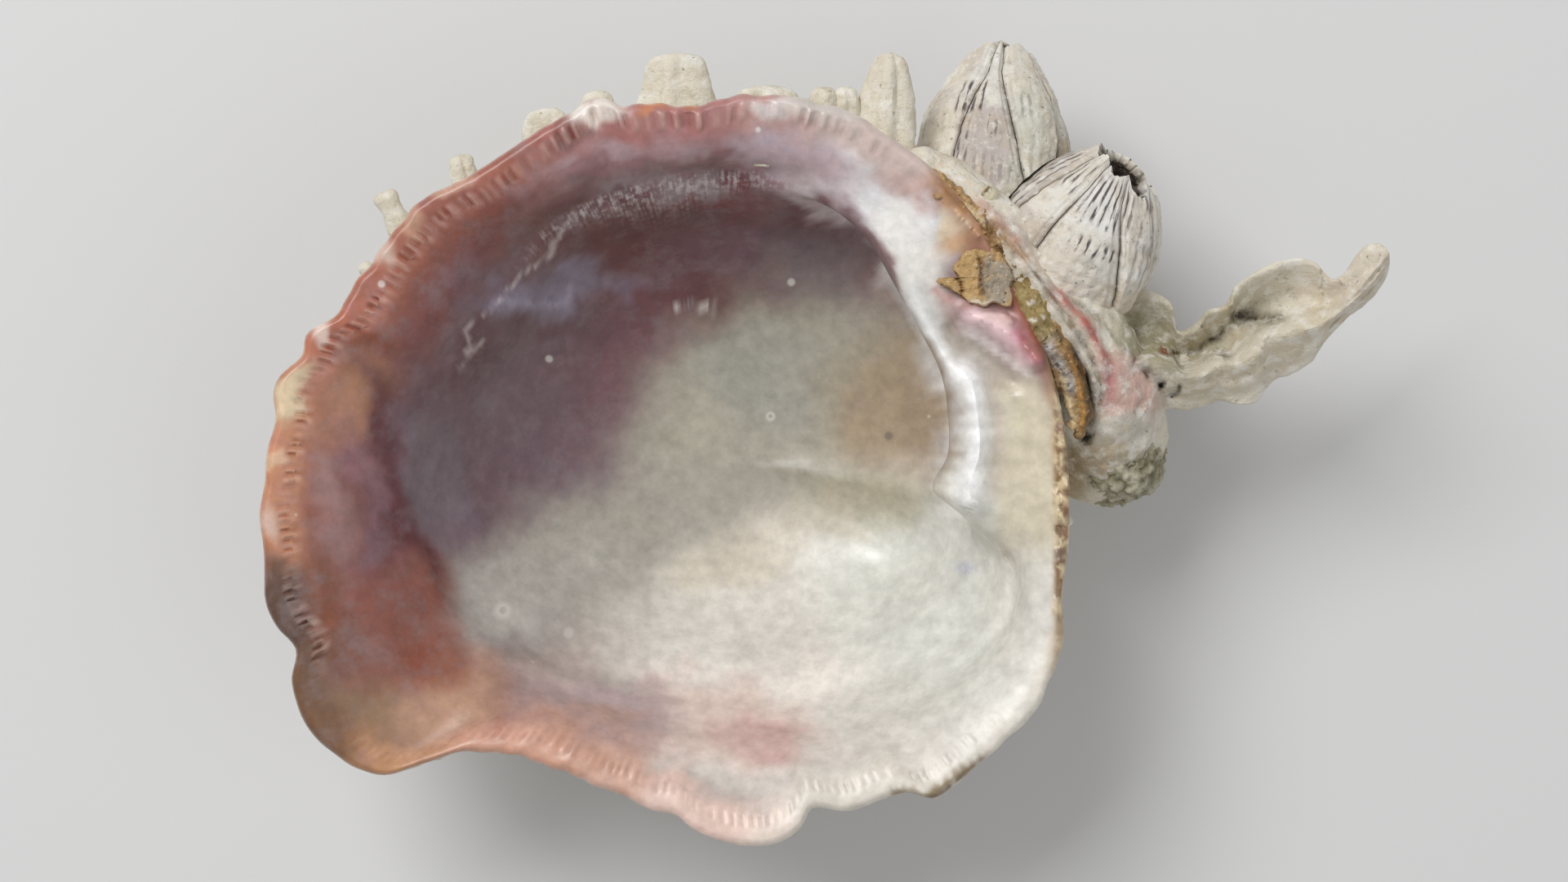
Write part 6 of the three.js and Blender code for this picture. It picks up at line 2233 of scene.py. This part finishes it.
@dataclass(frozen=True)
class SandyChip:
    """The flat fragment stuck on the hinge: tan on one side, grey and grainy on the other."""

    centre: tuple[float, float] = (32.9, 21.3)
    outline: tuple[tuple[float, float], ...] = (
        (36.1, 20.0), (36.1, 21.8), (35.5, 23.2), (34.8, 24.1), (33.6, 24.0), (32.4, 24.3), (31.2, 24.0),
        (30.6, 23.2), (30.0, 22.3), (30.4, 21.4), (29.0, 21.4), (28.4, 20.9), (29.4, 20.3), (30.3, 19.8),
        (31.4, 19.0), (32.2, 18.5), (33.2, 18.3), (34.4, 18.7), (35.4, 18.3), (36.2, 18.4),
    )
    bottom: float = 30.4
    top: float = 32.3

    def build(self) -> bpy.types.Object:
        """Models the chip and paints it.

        Returns:
            The finished mesh.
        """
        piece = flat_grid("hinge_flake", 150, 64)
        around, up = unit(piece)
        angle = around * TURN
        rim = Contour(self.centre, [(x, y, 0.0) for x, y in self.outline]).at(angle)[0]
        reach = np.interp(up, (0.0, 0.2, 0.3, 0.38, 0.44, 1.0), (0.0, 0.98, 1.0, 0.98, 0.93, 0.0))
        level = np.interp(up, (0.0, 0.2, 0.3, 0.38, 0.44, 1.0),
                          (self.bottom, self.bottom, 31.4, 31.9, self.top - 0.15, self.top))
        points = np.column_stack([self.centre[0] + rim * reach * np.cos(angle),
                                  self.centre[1] + rim * reach * np.sin(angle), level])
        rim_bite = 0.22 * grain(points, 1.0, 3, 3.0) * smooth((up - 0.02) / 0.1) * smooth((1.0 - up) / 0.4)
        points[:, 0] += rim_bite * np.cos(angle)
        points[:, 1] += rim_bite * np.sin(angle)
        upper = smooth((up - 0.3) / 0.12)
        points[:, 2] += upper * (0.35 * grain(points, 1.5, 4, 5.0) + 0.12 * grain(points, 0.4, 3, 6.0))
        seam = Relief([(32.6, 24.0), (33.0, 22.4), (32.8, 20.8), (33.2, 19.2)], 0.25, -0.45, 0.5)
        crack = Relief([(30.0, 21.8), (30.8, 20.8), (31.0, 19.6)], 0.2, -0.5, 0.5)
        points[:, 2] += upper * (seam.rise(points) + crack.rise(points))
        write_points(piece, points)
        close_up(piece)
        points = read_points(piece) / MM
        drift = points + 0.3 * grain(points, 0.9, 3, 9.0)[:, None]
        colour = stained(drift, "#C3A06C", (
            Stain((34.6, 21.2), (1.7, 3.0), "#A69A8A", 0.0, 0.95, 0.25),
            Stain((33.4, 21.4), (0.7, 1.6), "#8B7F70", 0.0, 0.7, 0.5),
            Stain((35.2, 23.6), (1.2, 0.6), "#BF9658", -30.0, 0.8, 0.5),
            Stroke([(32.6, 24.0), (33.0, 22.4), (32.8, 20.8), (33.2, 19.2)], 0.2, "#6A4E30", 0.7),
            Stroke([(30.0, 21.8), (30.8, 20.8), (31.0, 19.6)], 0.18, "#7A4F24", 0.8),
            Stroke([(31.6, 18.9), (33.0, 18.5), (34.4, 18.8)], 0.3, "#E6D9C4", 0.8),
        ))
        side = smooth((31.9 - points[:, 2]) / 0.5)
        store_colour(piece, "tint", mix(colour, np.array(linear("#946B3C")), side[:, None]))
        return piece


@dataclass(frozen=True)
class BeakCrust:
    """The knobbly coralline growth under the beak."""

    centre: tuple[float, float, float] = (48.4, 2.2, 17.6)
    radii: tuple[float, float, float] = (5.2, 4.6, 6.6)
    turn: float = 0.3

    def build(self) -> bpy.types.Object:
        """Models the crust from a sphere, with knobs, folds and pits.

        Returns:
            The finished mesh.
        """
        deselect()
        bpy.ops.mesh.primitive_ico_sphere_add(subdivisions=6, radius=1.0 * MM, location=(0, 0, 0))
        piece = bpy.context.object
        piece.name = "beak_crust"
        piece.data.name = "beak_crust"
        unit_points = read_points(piece) / MM
        scaled = unit_points * np.array(self.radii)
        c, s = math.cos(self.turn), math.sin(self.turn)
        points = np.column_stack([scaled[:, 0] * c - scaled[:, 1] * s, scaled[:, 0] * s + scaled[:, 1] * c,
                                  scaled[:, 2]]) + np.array(self.centre)
        knobs = np.abs(grain(points, 2.6, 3, 2.0))
        folds = 1.0 - np.abs(grain(points, 1.1, 3, 5.0)) * 2.0
        rise = 0.5 * grain(points, 6.0, 3, 1.0) + 1.1 * knobs + 0.28 * folds
        rise = rise + 0.12 * grain(points, 0.5, 2, 7.0)
        write_points(piece, points + unit_points * (rise - 0.5)[:, None])
        only(piece)
        tone = mix(np.array(linear("#8B8468")), np.array(linear("#C9C3AB")), smooth(knobs * 1.8)[:, None])
        store_colour(piece, "tint", np.column_stack([tone[:, :3], np.ones(len(points))]))
        return piece


@dataclass(frozen=True)
class WormTube:
    """A worm's short limy tube in the notch between the barnacles, its mouth a slit."""

    tube: Sweep = Sweep(
        (Station((35.2, 29.2, 28.6), 0.55), Station((34.4, 29.6, 29.6), 0.75),
         Station((33.7, 30.1, 30.2), 0.95),
         Station((33.1, 30.5, 30.4), 1.0)),
        48, 60, 0.16, 2.4, (), 0.0, 0.9, 0.12, 2.0,
    )
    slit: Sweep = Sweep(
        (Station((33.0, 30.0, 31.5), 0.2), Station((33.5, 30.5, 31.5), 0.22),
         Station((33.8, 30.9, 31.2), 0.16)),
        16, 16, 0.2, 2.0, (), 0.0, 0.5, 0.03, 5.0,
    )

    def build(self) -> bpy.types.Object:
        """Models the tube, cuts its mouth and paints it.

        Returns:
            The finished mesh.
        """
        piece = self.tube.build("worm_tube")
        mouth = self.slit.build("slit")
        apply_modifier(piece, "BOOLEAN", operation="DIFFERENCE", solver="MANIFOLD", object=mouth)
        bpy.data.objects.remove(mouth, do_unlink=True)
        points = read_points(piece) / MM
        colour = stained(points, "#DAD2B6",
                         (Stroke([(32.9, 29.9), (33.5, 30.5), (33.9, 31.0)], 0.25, "#6B5330"),))
        store_colour(piece, "tint", colour)
        return piece


BARNACLE_HIGH = Barnacle(
    "barnacle_high", (41.0, 20.8, 22.0), 61.0, 19.0, 15.4, 7.6, 3.7, 0.58, 0.92, 0.43,
    ((0.0, 0.0), (0.0, 8.0), (0.0, 10.0), (-4.0, 12.0), (5.0, -45.0), (3.0, -15.0)),
    (0.2, 0.9, 0.8, -0.5, -1.5, -1.6),
    (
        Band(250.0, 26.0, 0.64, 0.96, 1.0), Band(253.0, 19.0, 0.43, 0.58, 1.0),
        Band(150.0, 30.0, 0.38, 0.99, 0.9),
        Band(200.0, 12.0, 0.7, 0.98, 0.9), Band(296.0, 13.0, 0.82, 0.98, 0.8),
        Band(304.0, 20.0, 0.3, 0.78, 0.4),
        Band(60.0, 40.0, 0.5, 0.95, 0.7),
    ),
    (
        Band(150.0, 34.0, 0.3, 1.1, 0.6, "#C6BEB8"), Band(200.0, 17.0, 0.05, 0.55, 0.65, "#BDB0A6"),
        Band(250.0, 30.0, 0.1, 0.5, 0.5, "#E3DED4"), Band(250.0, 34.0, 0.6, 1.2, 0.7, "#ECEAE6"),
        Band(290.0, 16.0, 0.0, 0.35, 0.6, "#CFC6B2"), Band(310.0, 22.0, 0.3, 1.2, 0.7, "#E9E7E1"),
    ),
    11.0,
)
BARNACLE_LOW = Barnacle(
    "barnacle_low", (34.3, 28.9, 20.2), 84.0, -8.0, 17.6, 6.9, 3.1, 0.56, 0.95, 0.5,
    ((0.0, 0.0), (0.0, 10.0), (0.0, 15.0), (8.0, 28.0), (-3.0, -40.0), (4.0, 0.0)),
    (0.2, 0.3, 0.6, 0.9, 0.6, 0.3),
    (
        Band(237.0, 13.0, 0.5, 0.76, 1.0), Band(235.0, 5.0, 0.2, 0.5, 0.8), Band(258.0, 4.0, 0.36, 0.5, 0.8),
        Band(262.0, 22.0, 0.08, 0.3, 0.35), Band(288.0, 8.0, 0.5, 0.7, 0.4), Band(90.0, 50.0, 0.5, 0.95, 0.7),
        Band(10.0, 30.0, 0.4, 0.9, 0.5),
    ),
    (
        Band(256.0, 26.0, 0.04, 0.6, 0.8, "#B9AEA9"), Band(246.0, 26.0, 0.72, 1.2, 0.9, "#EBE9E1"),
        Band(212.0, 16.0, 0.0, 1.2, 0.7, "#E0D8C8"), Band(298.0, 26.0, 0.0, 0.75, 0.75, "#CFCFC0"),
        Band(292.0, 20.0, 0.7, 1.2, 0.6, "#DDDACF"), Band(330.0, 14.0, 0.1, 0.5, 0.6, "#B9A27A"),
    ),
    23.0,
)


# ---------------------------------------------------------------- stage
FLOOR_SIZE = 4.0
FLOOR_DROP = 0.0004
FLOOR_GREY = 0.7
ROOM_LIGHT = 0.36
LAMP_AIM = (0.01, 0.0, 0.02)
LAMPS = (("key", (-0.35, 0.42, 0.75), 0.45, 5.6), ("fill", (0.5, -0.25, 0.7), 0.7, 1.1))
CAMERA_PLACE = (0.0123, 0.00425, 0.419)
CAMERA_LENS = 85.0
CAMERA_SENSOR = 36.0


def studio() -> None:
    """Lays the pale floor and sets the soft lights and the camera."""
    bpy.ops.mesh.primitive_plane_add(size=FLOOR_SIZE, location=(0, 0, -FLOOR_DROP))
    floor = bpy.context.object
    floor.name = "floor"
    floor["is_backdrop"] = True
    material = bpy.data.materials.new("matt_pale_board")
    material.use_nodes = True
    shader = material.node_tree.nodes["Principled BSDF"]
    shader.inputs["Base Color"].default_value = (FLOOR_GREY, FLOOR_GREY, FLOOR_GREY, 1.0)
    shader.inputs["Roughness"].default_value = 0.9
    floor.data.materials.append(material)
    for name, place, size, power in LAMPS:
        light = bpy.data.lights.new(name, "AREA")
        light.size = size
        light.energy = power
        lamp = bpy.data.objects.new(name, light)
        lamp.location = place
        lamp.rotation_euler = (Vector(LAMP_AIM) - Vector(place)).to_track_quat("-Z", "Y").to_euler()
        bpy.context.scene.collection.objects.link(lamp)
    world = bpy.data.worlds.new("soft_room")
    world.use_nodes = True
    world.node_tree.nodes["Background"].inputs["Color"].default_value = (1, 1, 1, 1)
    world.node_tree.nodes["Background"].inputs["Strength"].default_value = ROOM_LIGHT
    bpy.context.scene.world = world
    bpy.context.scene.view_settings.view_transform = "Standard"
    camera = bpy.data.cameras.new("camera")
    camera.lens = CAMERA_LENS
    camera.sensor_width = CAMERA_SENSOR
    camera.clip_start = 0.01
    rig = bpy.data.objects.new("camera", camera)
    rig.location = CAMERA_PLACE
    bpy.context.scene.collection.objects.link(rig)
    bpy.context.scene.camera = rig


def main() -> None:
    """Builds the shell piece by piece."""
    logging.basicConfig(level=logging.INFO, format="%(name)s %(message)s")
    porcelain = PorcelainShell()
    valve = Valve().build()
    porcelain.tint(valve)
    settle(valve, "valve", porcelain)
    BARNACLE_HIGH.build()
    BARNACLE_LOW.build(BARNACLE_HIGH)
    settle(Operculum(BARNACLE_HIGH).build(), "barnacle_high_operculum", MOUTH_SHADE_PLUG, 70.0)
    settle(Ligament().build(), "ligament", HORNY_LIGAMENT)
    settle(SandyChip().build(), "hinge_flake", STONE_CHIP, 60.0)
    settle(BeakCrust().build(), "beak_crust", CORAL_CRUST, 70.0)
    settle(WormTube().build(), "worm_tube", WORM_CALCITE)
    studio()
    [[list(corner) for corner in box] for box in (CAD_BOX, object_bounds())]


if __name__ == "__main__":
    main()
